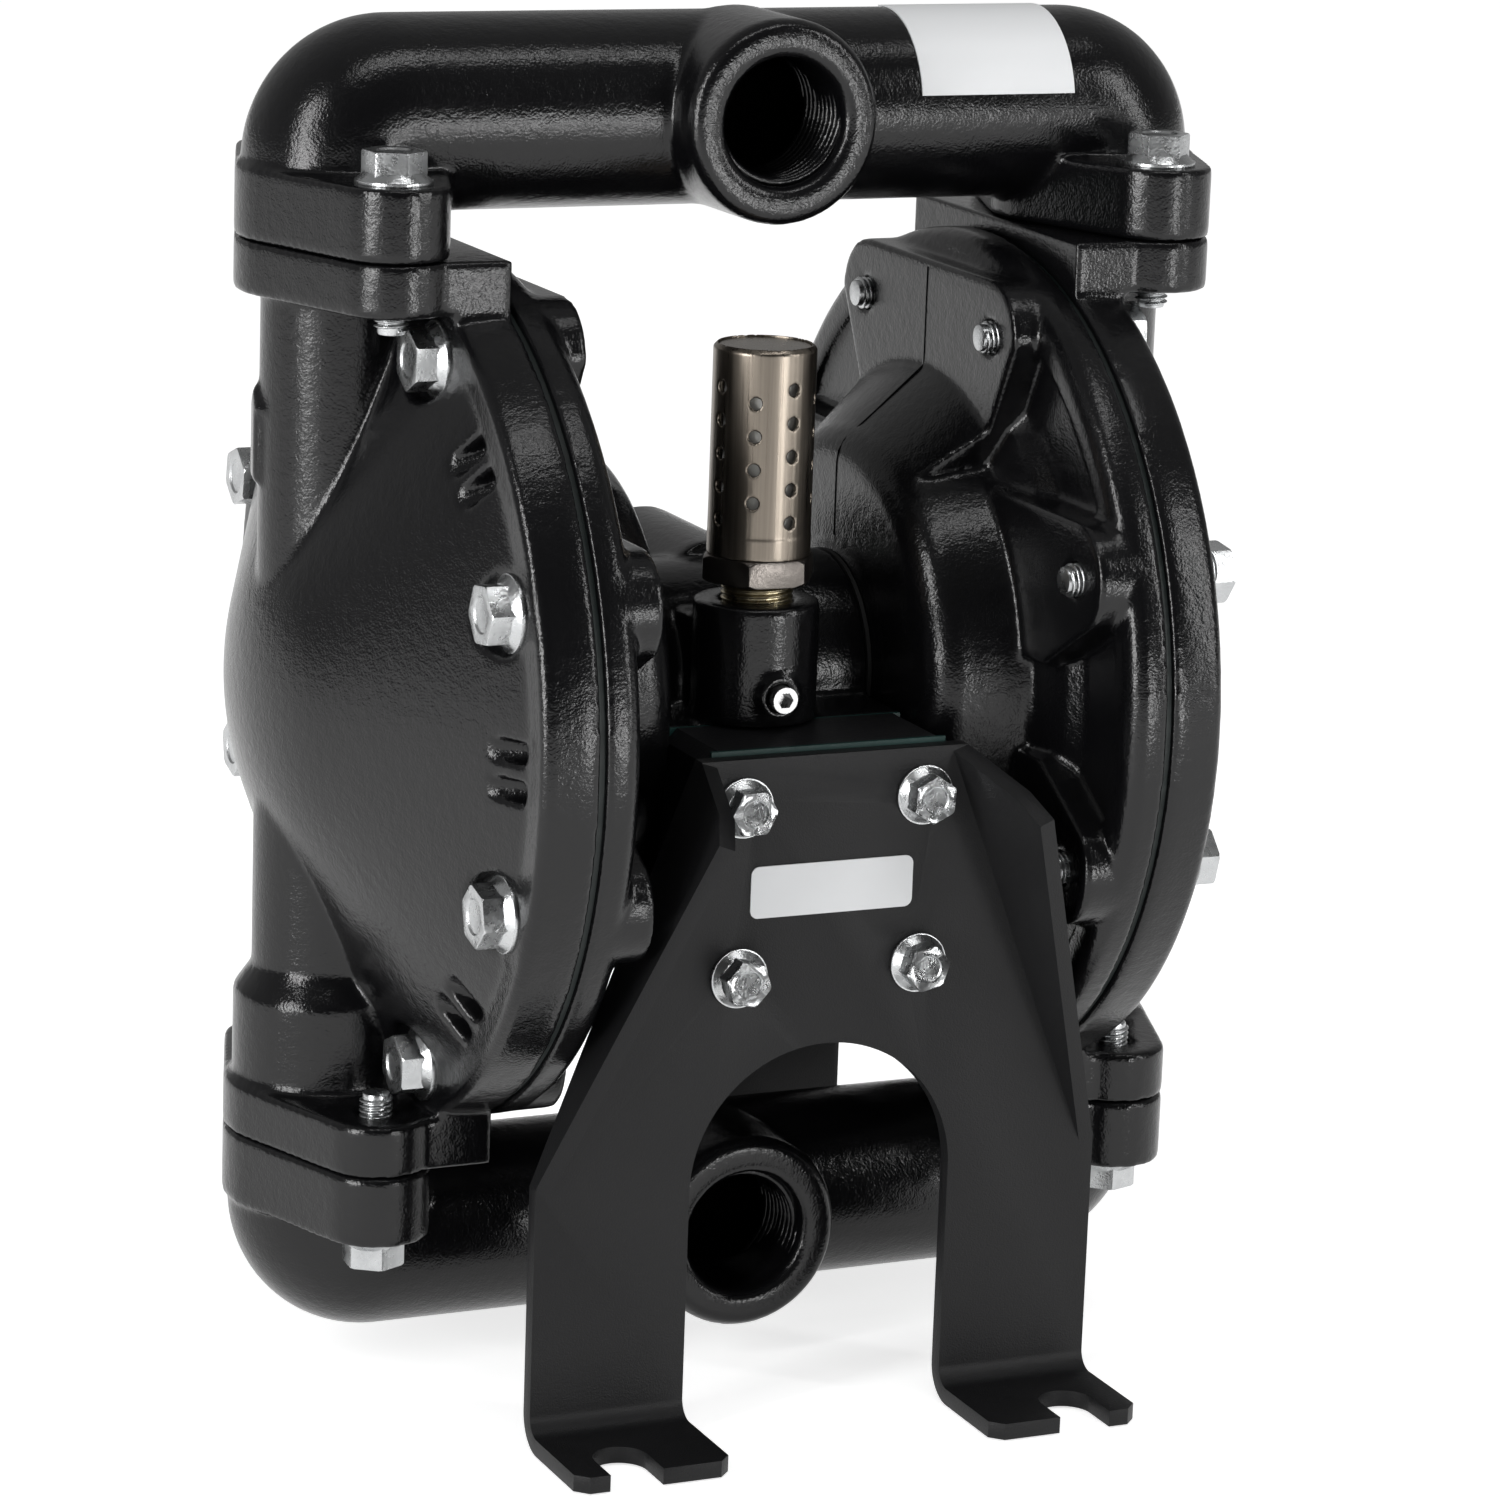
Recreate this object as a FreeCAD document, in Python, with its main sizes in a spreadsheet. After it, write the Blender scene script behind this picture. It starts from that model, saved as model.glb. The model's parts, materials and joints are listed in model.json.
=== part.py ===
import FreeCAD, Part
import math
import os
import Sketcher
from FreeCAD import Placement, Rotation, Vector

# Air-operated double diaphragm pump. X runs along the diaphragm shaft, the ports face -Y, +Z is up.
# The origin is on the floor under the middle of the pump. Lengths are in millimetres.

doc = FreeCAD.newDocument("diaphragm_pump")
sheet = doc.addObject("Spreadsheet::Sheet", "Sizes")

SIZES = (
    ("axis_height", 168.3, "diaphragm shaft axis over the floor"),
    ("port_offset", 28.5, "manifold tube axis from the manifold joint"),
    ("joint_offset", 3.1, "manifold joint face outside the cover rims"),
    ("column_x", 97.8, "vertical liquid column from the middle"),
    ("stroke", 10.0, "shaft travel each way"),
    ("running_gap", 0.05, "radial clearance of sliding parts"),
    ("fit_gap", 0.1, "radial clearance of pieces that are only seated"),
    ("seal_x", 71.2, "middle of the diaphragm bead"),
    ("bead_thick", 1.6, "diaphragm thickness"),
    ("rim_radius", 104.1, "cover rims at the diaphragm"),
    ("lip_radius", 99.2, "air cover rim at its inner face"),
    ("lip_width", 4.6, "raised lip of the air cover rim"),
    ("lip_slope", 0.8, "rounding of the air cover rim"),
    ("lip_shoulder", 3.5, "width of the air cover rim's rounding"),
    ("lip_x", 85.6, "outer face of the fluid cover rim"),
    ("lip_round", 1.5, "rounded edge of the fluid cover rim"),
    ("rim_band", 4.0, "straight band of the fluid cover rim"),
    ("rim_draft", 0.7, "draft of the fluid cover rim"),
    ("bolt_circle", 90.6, "radius of the cover bolt circle"),
    ("seat_x", 86.1, "seat of the cover bolts"),
    ("boss_radius", 10.5, "bolt bosses on the covers"),
    ("dome_apex", 120.0, "outermost point of the dome"),
    ("dome_radius", 83.0, "outer radius of the dome's cap"),
    ("dome_foot", 95.0, "cone of the dome where it meets the rim"),
    ("pocket_half", 7.0, "half width of the pockets between the cover bolts"),
    ("pocket_high", 93.5, "outer end of the pockets from the axis"),
    ("pocket_low", 82.5, "inner end of the pockets from the axis"),
    ("pocket_floor", 8.0, "floor of the pockets from the diaphragm"),
    ("pocket_slope", 3.5, "flat part of the pocket floors"),
    ("pocket_rise", 6.0, "inner end of the pockets over the rim face"),
    ("spot_radius", 9.6, "spot faces under the cover bolts"),
    ("wall", 5.0, "casting wall"),
    ("rib_thick", 3.6, "ribs of the fluid cover, in the middle of the pockets"),
    ("chamber_radius", 76.0, "liquid chamber at the diaphragm"),
    ("chamber_band", 8.0, "straight part of the liquid chamber"),
    ("chamber_cone", 0.6, "cone of the liquid chamber as part of the outer cone"),
    ("column_radius", 18.0, "outside of the vertical column"),
    ("column_bore", 13.5, "bore of the vertical column"),
    ("web_half", 13.5, "half width of the web behind the column"),
    ("cage_radius", 22.3, "outside of the ball chamber"),
    ("cage_bore", 18.0, "bore of the ball chamber"),
    ("cage_top", 34.0, "ball chamber height over the joint face"),
    ("cage_roof", 1.0, "step at the top of the ball chamber"),
    ("cage_slope", 6.0, "cone between ball chamber and column"),
    ("lug_thick", 12.5, "cover lug at the manifold joint"),
    ("root_depth", 3.0, "lug roots sunk into the rim"),
    ("lug_radius", 24.5, "manifold joint flange round the column"),
    ("ear_radius", 13.0, "ears of the manifold joint flange"),
    ("ear_x", 97.6, "manifold bolts from the middle"),
    ("ear_y", 34.9, "manifold bolts in front of the middle"),
    ("tube_radius", 23.0, "outside of the manifold tube"),
    ("tube_bore", 17.0, "bore of the manifold tube"),
    ("bend_radius", 11.0, "centre line of the manifold corner"),
    ("corner_room", 2.0, "narrowing of the bore in the manifold corner"),
    ("flange_height", 17.1, "manifold flange from joint to bolt seat"),
    ("port_face", 33.8, "port face in front of the tube axis"),
    ("port_radius", 24.2, "outside of the port boss"),
    ("port_ring", 22.4, "outside of the port face"),
    ("port_bevel", 2.5, "bevel round the port face"),
    ("port_bore", 15.15, "minor radius of the 1 inch pipe thread"),
    ("port_mouth", 16.8, "mouth chamfer of the port"),
    ("ball_radius", 12.7, "check ball"),
    ("ball_lift", 6.0, "check ball travel"),
    ("seat_radius", 19.0, "outside of the valve seats"),
    ("seat_height", 8.0, "valve seat height"),
    ("seat_bore", 9.5, "bore of the valve seats"),
    ("seat_edge", 10.2, "contact circle of the ball"),
    ("seat_bevel", 1.5, "bevel of the valve seats"),
    ("ball_gap", 0.2, "play round a resting or lifted ball"),
    ("ring_radius", 15.6, "centre line of the seat O-ring"),
    ("ring_section", 1.4, "section radius of the seat O-ring"),
    ("guide_gap", 0.6, "play between ball and guide fins"),
    ("fin_thick", 3.0, "ball guide fins"),
    ("fin_root", 0.8, "guide fins sunk into the wall"),
    ("fin_rise", 3.0, "guide fins over the valve seat"),
    ("hook_slope", 3.0, "slope on the outside of the fins' hooks"),
    ("hook_thick", 5.0, "height of the fins' hooks"),
    ("shank_radius", 4.0, "M8 shank"),
    ("shank_chamfer", 0.6, "chamfer at the end of the shanks"),
    ("shank_length", 34.5, "M8 shank length"),
    ("hole_radius", 4.5, "M8 clearance hole"),
    ("tap_radius", 4.05, "M8 tapped hole"),
    ("washer_radius", 8.95, "M8 bolt flange"),
    ("washer_thick", 2.0, "M8 bolt flange"),
    ("washer_edge", 0.35, "rim of the bolt flanges as part of their thickness"),
    ("head_flats", 13.0, "M8 head across flats"),
    ("head_height", 7.5, "M8 head with its flange"),
    ("head_chamfer", 1.2, "chamfer of the hexagon heads"),
    ("head_face", 0.96, "round top face of the heads as part of their width"),
    ("corner_play", 0.4, "blank of the heads outside their corners"),
    ("small_shank", 3.0, "M6 shank"),
    ("small_hole", 3.3, "M6 clearance hole"),
    ("small_tap", 3.05, "M6 tapped hole"),
    ("root_half", 44.5, "half width of the lug root on the cover rim"),
    ("small_washer", 7.1, "M6 bolt flange"),
    ("small_flats", 10.0, "M6 head across flats"),
    ("small_head", 6.6, "M6 head with its flange"),
    ("bracket_shank", 38.0, "front bracket bolt length"),
    ("rear_shank", 16.0, "rear bracket bolt length"),
    ("barrel_radius", 26.5, "centre housing barrel"),
    ("barrel_x", 30.0, "half length of the centre housing barrel"),
    ("gasket_thick", 1.0, "flat gaskets"),
    ("hub_x", 32.0, "inner face of the air cover bell"),
    ("hub_step", 2.0, "inner face of the bell outside the barrel"),
    ("bell_radius", 58.0, "air cover bell"),
    ("air_lip_x", 61.0, "inner face of the air cover rim"),
    ("pad_x", 54.5, "bolt bosses and pads of the air cover"),
    ("bell_round", 10.0, "rounding of the air cover bell"),
    ("bell_foot", 61.0, "air cover bell where it turns into the wall"),
    ("foot_start", 2.5, "foot of the bell beyond the pads"),
    ("foot_end", 3.5, "foot of the bell before the wall"),
    ("foot_fillet", 5.0, "corner between the foot of the bell and the wall"),
    ("foot_rise", 11.0, "cone between the bell and the wall"),
    ("air_web_x", 63.5, "air cover wall between bell and rim"),
    ("pad_round", 13.5, "rounding of the air cover pads about their bolts"),
    ("pad_root", 46.0, "root of the top pad from the axis"),
    ("pad_sink", 6.0, "pads sunk into the bell"),
    ("pad_inset", 2.0, "inner edge of the side pads past their bolts"),
    ("side_pad_low", 11.5, "inner edge of the side pads from the axis"),
    ("side_pad_knee", 70.0, "corner of the side pads in front of the axis"),
    ("duct_radius", 15.0, "air duct of the air cover"),
    ("duct_angle", 40.0, "slope of the air duct"),
    ("duct_back", 34.0, "air duct length on the bell side of the pad"),
    ("duct_ahead", 16.0, "air duct length inside the pad"),
    ("duct_start", 6.5, "air duct beyond the corner of the bell"),
    ("duct_lean", 10.0, "air duct's end along the shaft"),
    ("duct_rise", 51.2, "duct axis over the shaft axis where it meets the pad"),
    ("air_way", 3.5, "level air passages"),
    ("drop_way", 3.0, "upright air passages"),
    ("drill_end", 5.0, "level passages past the upright ones"),
    ("air_way_y", 17.5, "air passage in front of the shaft"),
    ("air_way_x", 20.0, "air passage beside the middle"),
    ("supply_x", 6.0, "supply passage beside the middle"),
    ("supply_y", 34.0, "supply passage behind the middle"),
    ("shaft_radius", 9.5, "diaphragm shaft"),
    ("shaft_play", 0.5, "clearance of the shaft in the castings"),
    ("bush_wall", 2.5, "shaft bush wall"),
    ("bush_length", 14.0, "shaft bush length"),
    ("seal_length", 5.0, "shaft seal length"),
    ("plate_radius", 40.0, "diaphragm plates"),
    ("plate_thick", 7.0, "diaphragm plates"),
    ("plate_edge", 2.5, "rim of the diaphragm plates"),
    ("air_plate_flat", 28.0, "flat middle of the air plate"),
    ("fluid_plate_flat", 24.0, "flat middle of the fluid plate"),
    ("thread_end", 1.5, "tapped hole past the shaft screw"),
    ("screw_radius", 5.0, "M10 shaft screw"),
    ("screw_length", 35.0, "M10 shaft screw"),
    ("screw_flats", 16.0, "M10 head across flats"),
    ("screw_head", 6.4, "M10 head"),
    ("roll_depth", 6.0, "depth of the diaphragm roll"),
    ("roll_gap", 1.0, "roll clear of the plates and of the bell"),
    ("roll_slope", 4.0, "flank of the roll"),
    ("roll_shift", 0.8, "outer face of the roll's flanks from the inner face"),
    ("bead_inset", 1.6, "diaphragm edge inside the cover rims"),
    ("pilot_radius", 3.0, "pilot rod"),
    ("pilot_drop", 17.0, "pilot rod below the shaft axis"),
    ("pilot_travel", 4.0, "pilot rod travel each way"),
    ("contact_gap", 0.3, "gap between pilot rod and plate at the end of the stroke"),
    ("cap_screw", 2.5, "M5 air cover screws"),
    ("cap_screw_head", 4.25, "M5 screw head radius"),
    ("socket_radius", 2.25, "M5 screw socket radius"),
    ("cap_screw_x", 13.8, "air cover screws beside and above the axis"),
    ("cap_screw_length", 20.0, "air cover screw length"),
    ("block_half", 31.0, "half width of the valve block"),
    ("block_top", -4.3, "top of the valve block over the shaft axis"),
    ("block_bottom", -70.3, "bottom of the valve block over the shaft axis"),
    ("bracket_face", 73.7, "bracket plate front from the middle"),
    ("plate_gauge", 4.0, "bracket sheet"),
    ("valve_depth", 23.7, "valve body front to back"),
    ("spool_height", -37.3, "valve spool axis over the shaft axis"),
    ("spool_y", 56.85, "valve spool axis in front of the middle"),
    ("sleeve_radius", 9.5, "valve sleeve"),
    ("spool_radius", 7.0, "valve spool"),
    ("spool_travel", 5.0, "valve spool travel each way"),
    ("end_cap", 4.0, "valve end cap thickness"),
    ("valve_bevel", 3.0, "bevel along the top of the valve body"),
    ("gasket_inset", 1.0, "valve gaskets inside the valve body's outline"),
    ("groove_depth", 2.0, "spool waist depth"),
    ("waist_high", 0.7, "outer end of the spool's waists as part of its half length"),
    ("waist_low", 0.3, "inner end of the spool's waists as part of its half length"),
    ("muffler_x", -6.0, "muffler beside the middle"),
    ("muffler_y", -39.0, "muffler in front of the middle"),
    ("muffler_boss", 15.0, "exhaust boss"),
    ("muffler_boss_top", 24.7, "top of the exhaust boss over the shaft axis"),
    ("boss_step", 0.5, "exhaust boss over its foot"),
    ("boss_neck", 3.0, "root of the exhaust boss narrower than the boss"),
    ("boss_sink", 6.0, "root of the exhaust boss sunk into the block"),
    ("exhaust_bore", 8.6, "3/8 inch pipe thread in the boss"),
    ("exhaust_depth", 15.0, "exhaust thread length"),
    ("muffler_neck", 8.55, "muffler thread"),
    ("neck_end", 3.0, "muffler thread over the bottom of its hole"),
    ("neck_sleeve", 3.0, "fitting inside the muffler tube"),
    ("nut_low", 4.4, "underside of the muffler hexagon over the exhaust boss"),
    ("nut_flats", 24.2, "muffler hexagon across flats"),
    ("nut_height", 6.4, "muffler hexagon height"),
    ("nut_turn", 27.4, "muffler hexagon's corner, degrees from the shaft"),
    ("nut_chamfer", 1.2, "chamfer of the muffler hexagon"),
    ("nut_face", 0.98, "round faces of the muffler hexagon as part of its width"),
    ("muffler_radius", 12.2, "muffler tube"),
    ("muffler_top", 56.4, "top of the muffler over the underside of its hexagon"),
    ("muffler_wall", 1.2, "muffler sheet"),
    ("muffler_step", 0.1, "rolled sleeve at the foot of the muffler tube"),
    ("muffler_sleeve", 5.0, "height of the rolled sleeve"),
    ("tube_edge", 1.1, "rounded upper edge of the muffler tube"),
    ("disc_thick", 1.6, "end disc of the muffler"),
    ("disc_depth", 2.2, "end disc of the muffler from the top"),
    ("core_gap", 1.8, "muffler core inside the tube"),
    ("core_wall", 3.0, "wall of the muffler core"),
    ("plug_depth", 8.0, "plug thread length"),
    ("screw_depth", 15.0, "air cover screw holes in the housing"),
    ("tap_depth", 14.0, "bracket bolt holes in the housing"),
    ("vent_radius", 1.5, "muffler perforations"),
    ("vent_pitch", 7.85, "rows of perforations"),
    ("vent_first", 1.22, "first row of perforations under the top, in rows"),
    ("vent_shift", 0.4, "shift of every other column, in rows"),
    ("vent_turn", 12.0, "first column of perforations, degrees from the shaft"),
    ("plug_radius", 3.1, "hex socket plug"),
    ("plug_wall", 2.2, "boss round the plug"),
    ("plug_reach", 1.0, "boss of the plug in front of the exhaust boss"),
    ("plug_height", 3.7, "hex socket plug over the shaft axis"),
    ("plug_stand", 2.5, "plug length outside the boss"),
    ("plug_socket", 3.5, "socket of the plug across flats"),
    ("plug_recess", 3.0, "depth of the plug's socket"),
    ("inlet_height", 15.7, "air inlet axis over the shaft axis"),
    ("inlet_face", 46.0, "air inlet face behind the middle"),
    ("inlet_boss", 14.5, "air inlet boss"),
    ("inlet_bore", 9.2, "1/2 inch pipe thread of the air inlet"),
    ("inlet_depth", 16.0, "air inlet thread length"),
    ("bracket_top", -5.5, "top edge of the bracket plate over the shaft axis"),
    ("bracket_top_half", 34.0, "half width of the plate at its top"),
    ("bracket_knee", 63.5, "height where the legs become straight"),
    ("bracket_half", 72.5, "half width over the legs"),
    ("arch_radius", 33.7, "arch of the bracket"),
    ("arch_height", 59.0, "centre of the arch over the floor"),
    ("foot_reach", 104.0, "foot front edge from the middle"),
    ("foot_bend", 4.5, "inner bend radius of the feet"),
    ("foot_nip", 3.0, "cut corners of the feet"),
    ("slot_x", 57.9, "middle of the foot slots"),
    ("slot_radius", 6.6, "half width of the foot slots"),
    ("slot_depth", 9.9, "slot end centre from the foot edge"),
    ("rib_reach", 30.0, "depth of the bracket's side flange"),
    ("rib_flare", 3.5, "outward lean of the side flange"),
    ("rib_deepest", 0.87, "where the side flange is deepest, as part of its length"),
    ("rib_corner", 8.0, "cut corner of the side flange"),
    ("rib_slant", 0.9, "height of the cut corner as part of its length"),
    ("rib_root", 3.8, "side flange's root inside the bracket sheet"),
    ("bolt_col", 23.07, "bracket bolts from the middle"),
    ("bolt_upper", -16.9, "upper bracket bolts over the shaft axis"),
    ("bolt_lower", -57.7, "lower bracket bolts over the shaft axis"),
    ("label_width", 41.6, "bare plate on the bracket"),
    ("label_height", 12.4, "bare plate on the bracket"),
    ("label_z", -37.5, "middle of the bare plate over the shaft axis"),
    ("label_thick", 0.4, "bare plates"),
    ("label_corner", 2.0, "rounded corners of the bare plate"),
    ("tag_gap", 0.02, "bare tag over the tube"),
    ("tag_left", 40.0, "bare tag on the upper manifold, near end"),
    ("tag_width", 40.5, "bare tag on the upper manifold"),
    ("tag_start", 11.0, "lower edge of the tag, degrees above level"),
    ("tag_sweep", 88.0, "degrees that the tag goes round the tube"),
)
for row, (alias, value, note) in enumerate(SIZES, start=1):
    sheet.set(f"A{row}", note)
    sheet.set(f"B{row}", str(value))
    sheet.setAlias(f"B{row}", alias)
doc.recompute()


class Size:
    """A size: its number now, and the expression that gives it in the document."""

    def __init__(self, value, text):
        self.value = float(value)
        self.text = text

    def __add__(self, other):
        other = as_size(other)
        return Size(self.value + other.value, f"({self.text} + {other.text})")

    def __radd__(self, other):
        return as_size(other) + self

    def __sub__(self, other):
        other = as_size(other)
        return Size(self.value - other.value, f"({self.text} - {other.text})")

    def __rsub__(self, other):
        return as_size(other) - self

    def __mul__(self, other):
        other = as_size(other)
        return Size(self.value * other.value, f"({self.text} * {other.text})")

    def __rmul__(self, other):
        return as_size(other) * self

    def __truediv__(self, other):
        other = as_size(other)
        return Size(self.value / other.value, f"({self.text} / {other.text})")

    def __neg__(self):
        return Size(-self.value, f"(0 - {self.text})")

    def root(self):
        return Size(math.sqrt(self.value), f"sqrt({self.text})")


def as_size(number):
    if isinstance(number, Size):
        return number
    return Size(number, f"({number})" if number < 0 else str(number))


class Sheet:
    """Reads a size of the sheet by its alias."""

    def __getattr__(self, alias):
        return Size(float(sheet.get(alias)), f"Sizes.{alias}")


s = Sheet()
LEFT = -1
RIGHT = 1
ALONG_X = Rotation(Vector(0, 1, 0), 90)
ALONG_Y = Rotation(Vector(1, 0, 0), -90)
ALONG_Z = Rotation()
UPRIGHT = Rotation(Vector(1, 0, 0), 90)
ACROSS = Rotation(Vector(1, 1, 1), 120)
TURNS = {"X": ALONG_X, "Y": ALONG_Y, "Z": ALONG_Z}


def bind(obj, name, size):
    """Set one property from a size, and bind it to the sheet."""
    size = as_size(size)
    if "Sizes." in size.text:
        obj.setExpression(name, size.text)
    elif name.isalnum():
        setattr(obj, name, size.value)


def place(obj, at, turn=ALONG_Z):
    """Put an object at a point whose coordinates are sizes."""
    at = [as_size(c) for c in at]
    obj.Placement = Placement(Vector(*[c.value for c in at]), turn)
    for letter, coordinate in zip("xyz", at):
        bind(obj, f"Placement.Base.{letter}", coordinate)
    return obj


def cylinder(name, radius, length, at, axis="Z"):
    obj = doc.addObject("Part::Cylinder", name)
    bind(obj, "Radius", radius)
    bind(obj, "Height", length)
    return place(obj, at, TURNS[axis])


def cone(name, low_radius, high_radius, length, at, axis="Z"):
    obj = doc.addObject("Part::Cone", name)
    bind(obj, "Radius1", low_radius)
    bind(obj, "Radius2", high_radius)
    bind(obj, "Height", length)
    return place(obj, at, TURNS[axis])


def box(name, low, high):
    obj = doc.addObject("Part::Box", name)
    for side, a, b in zip(("Length", "Width", "Height"), low, high):
        bind(obj, side, as_size(b) - a)
    return place(obj, low)


def ball(name, radius, at):
    obj = doc.addObject("Part::Sphere", name)
    bind(obj, "Radius", radius)
    return place(obj, at)


def torus(name, radius, section, at, axis="Z"):
    obj = doc.addObject("Part::Torus", name)
    bind(obj, "Radius1", radius)
    bind(obj, "Radius2", section)
    return place(obj, at, TURNS[axis])


def hexagon(name, across_flats, length, at, axis="Z"):
    obj = doc.addObject("Part::Prism", name)
    obj.Polygon = 6
    bind(obj, "Circumradius", as_size(across_flats) / math.sqrt(3))
    bind(obj, "Height", length)
    return place(obj, at, TURNS[axis])


def fuse(name, *shapes):
    obj = doc.addObject("Part::MultiFuse", name)
    obj.Shapes = list(shapes)
    obj.Refine = True
    return obj


def common(name, *shapes):
    obj = doc.addObject("Part::MultiCommon", name)
    obj.Shapes = list(shapes)
    return obj


def cut(name, base, *tools):
    obj = doc.addObject("Part::Cut", name)
    obj.Base = base
    obj.Tool = tools[0] if len(tools) == 1 else fuse(f"{name}_tools", *tools)
    obj.Refine = True
    return obj


def mirror(name, source, normal, height=0):
    obj = doc.addObject("Part::Mirroring", name)
    obj.Source = source
    obj.Normal = Vector(*normal)
    obj.Base = Vector(0, 0, as_size(height).value)
    bind(obj, "Base.z", height)
    return obj


def group(name, *shapes):
    obj = doc.addObject("Part::Compound", name)
    obj.Links = list(shapes)
    return obj


class Arc:
    """A round side of an outline: it ends at a point, bulges left or right and may be the long way."""

    def __init__(self, end, radius, bulge=RIGHT, long_way=False):
        self.end = end
        self.radius = as_size(radius)
        self.bulge = bulge
        self.long_way = long_way

    def middle(self, start, end):
        """Centre of the arc between two points."""
        chord = end - start
        half = chord.Length / 2
        rise = math.sqrt(max(self.radius.value ** 2 - half ** 2, 0.0))
        normal = Vector(-chord.y, chord.x, 0).normalize()
        side = -self.bulge if self.long_way else self.bulge
        return start + chord * 0.5 + normal * rise * side


def outline(sketch, corners):
    """Draw a closed outline. Each corner's place and each arc's radius is bound to the sheet."""
    ends = [c.end if isinstance(c, Arc) else c for c in corners]
    ends = [(as_size(x), as_size(y)) for x, y in ends]
    spots = [Vector(x.value, y.value, 0) for x, y in ends]
    for i, corner in enumerate(corners):
        start, end = spots[i - 1], spots[i]
        if isinstance(corner, Arc):
            middle = corner.middle(start, end)
            begin = math.atan2(start.y - middle.y, start.x - middle.x)
            finish = math.atan2(end.y - middle.y, end.x - middle.x)
            circle = Part.Circle(middle, Vector(0, 0, 1), corner.radius.value)
            if corner.bulge > 0:
                line = sketch.addGeometry(Part.ArcOfCircle(circle, begin, finish), False)
                first, last = 1, 2
            else:
                line = sketch.addGeometry(Part.ArcOfCircle(circle, finish, begin), False)
                first, last = 2, 1
        else:
            line = sketch.addGeometry(Part.LineSegment(start, end), False)
            first, last = 1, 2
        if i == 0:
            origin_side = (line, first)
        else:
            sketch.addConstraint(Sketcher.Constraint("Coincident", before[0], before[1], line, first))
        before = (line, last)
        fix(sketch, line, last, ends[i])
        if isinstance(corner, Arc):
            limit(sketch, Sketcher.Constraint("Radius", line, corner.radius.value), corner.radius)
    sketch.addConstraint(Sketcher.Constraint("Coincident", before[0], before[1], *origin_side))
    return sketch


def limit(sketch, constraint, size):
    index = sketch.addConstraint(constraint)
    bind(sketch, f"Constraints[{index}]", size)


def fix(sketch, line, end, spot):
    """Tie one end of a line to its coordinates."""
    for kind, size in (("DistanceX", spot[0]), ("DistanceY", spot[1])):
        limit(sketch, Sketcher.Constraint(kind, -1, 1, line, end, size.value), size)


def new_sketch(name):
    return doc.addObject("Sketcher::SketchObject", name)


def turned(name, corners, axis="X", at=(0, 0, 0)):
    """Revolve an outline: first coordinate along the axis, second the radius."""
    sketch = outline(new_sketch(f"{name}_outline"), corners)
    obj = doc.addObject("Part::Revolution", name)
    obj.Source = sketch
    obj.Axis = Vector(1, 0, 0)
    obj.Base = Vector(0, 0, 0)
    obj.Angle = 360
    obj.Solid = True
    turn = {"X": Rotation(), "Y": Rotation(Vector(0, 0, 1), 90), "Z": Rotation(Vector(0, 1, 0), -90)}[axis]
    return place(obj, at, turn)


def prism(name, corners, length, at=(0, 0, 0), turn=ALONG_Z):
    """Extrude an outline along its own normal."""
    sketch = outline(new_sketch(f"{name}_outline"), corners)
    obj = doc.addObject("Part::Extrusion", name)
    obj.Base = sketch
    obj.DirMode = "Normal"
    obj.Solid = True
    bind(obj, "LengthFwd", length)
    return place(obj, at, turn)


def new_body(label, at=(0, 0, 0), turn=ALONG_Z):
    body = doc.addObject("PartDesign::Body", label)
    return place(body, at, turn)


def origin_of(body, role):
    for feature in body.Origin.OriginFeatures:
        if feature.Role == role:
            return feature


def body_sketch(body, name, role, offset=0):
    sketch = body.newObject("Sketcher::SketchObject", name)
    sketch.AttachmentSupport = [(origin_of(body, role), "")]
    sketch.MapMode = "FlatFace"
    offset = as_size(offset)
    sketch.AttachmentOffset = Placement(Vector(0, 0, offset.value), Rotation())
    bind(sketch, "AttachmentOffset.Base.z", offset)
    return sketch


def circle(sketch, x, y, radius):
    x, y, radius = as_size(x), as_size(y), as_size(radius)
    spot = Vector(x.value, y.value, 0)
    line = sketch.addGeometry(Part.Circle(spot, Vector(0, 0, 1), radius.value), False)
    fix(sketch, line, 3, (x, y))
    limit(sketch, Sketcher.Constraint("Radius", line, radius.value), radius)


def feature(body, kind, name, sketch, length):
    """A Pad or Pocket of a body."""
    obj = body.newObject(f"PartDesign::{kind}", name)
    obj.Profile = sketch
    bind(obj, "Length", length)
    sketch.Visibility = False
    return obj


def polar(body, name, originals, count):
    obj = body.newObject("PartDesign::PolarPattern", name)
    obj.Originals = originals
    obj.Axis = (origin_of(body, "X_Axis"), [""])
    obj.Angle = 360
    obj.Occurrences = count
    body.Tip = obj
    return obj


NODES = []


def node(obj, label):
    """Name a finished sub-part, which also names its file."""
    obj.Label = label
    NODES.append(obj)
    return obj


AXIS = (0, 0, s.axis_height)
COVER_BOLTS = 8
HALF_STEP = 180 / COVER_BOLTS
FLUID_FACE = s.seal_x + s.bead_thick / 2
AIR_FACE = s.seal_x - s.bead_thick / 2
JOINT_OFFSET = s.rim_radius + s.joint_offset
JOINT_TOP = s.axis_height + JOINT_OFFSET
JOINT_LOW = s.axis_height - JOINT_OFFSET
TUBE_TOP = JOINT_TOP + s.port_offset
TUBE_LOW = JOINT_LOW - s.port_offset
BLOCK_TOP = s.axis_height + s.block_top
BLOCK_BOTTOM = s.axis_height + s.block_bottom
SPOOL_HEIGHT = s.axis_height + s.spool_height
MUFFLER_BOSS_TOP = s.axis_height + s.muffler_boss_top
NUT_LOW = MUFFLER_BOSS_TOP + s.nut_low
MUFFLER_TOP = NUT_LOW + s.muffler_top
PLUG_HEIGHT = s.axis_height + s.plug_height
INLET_HEIGHT = s.axis_height + s.inlet_height
BRACKET_TOP = s.axis_height + s.bracket_top
BOLT_UPPER = s.axis_height + s.bolt_upper
BOLT_LOWER = s.axis_height + s.bolt_lower
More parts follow.
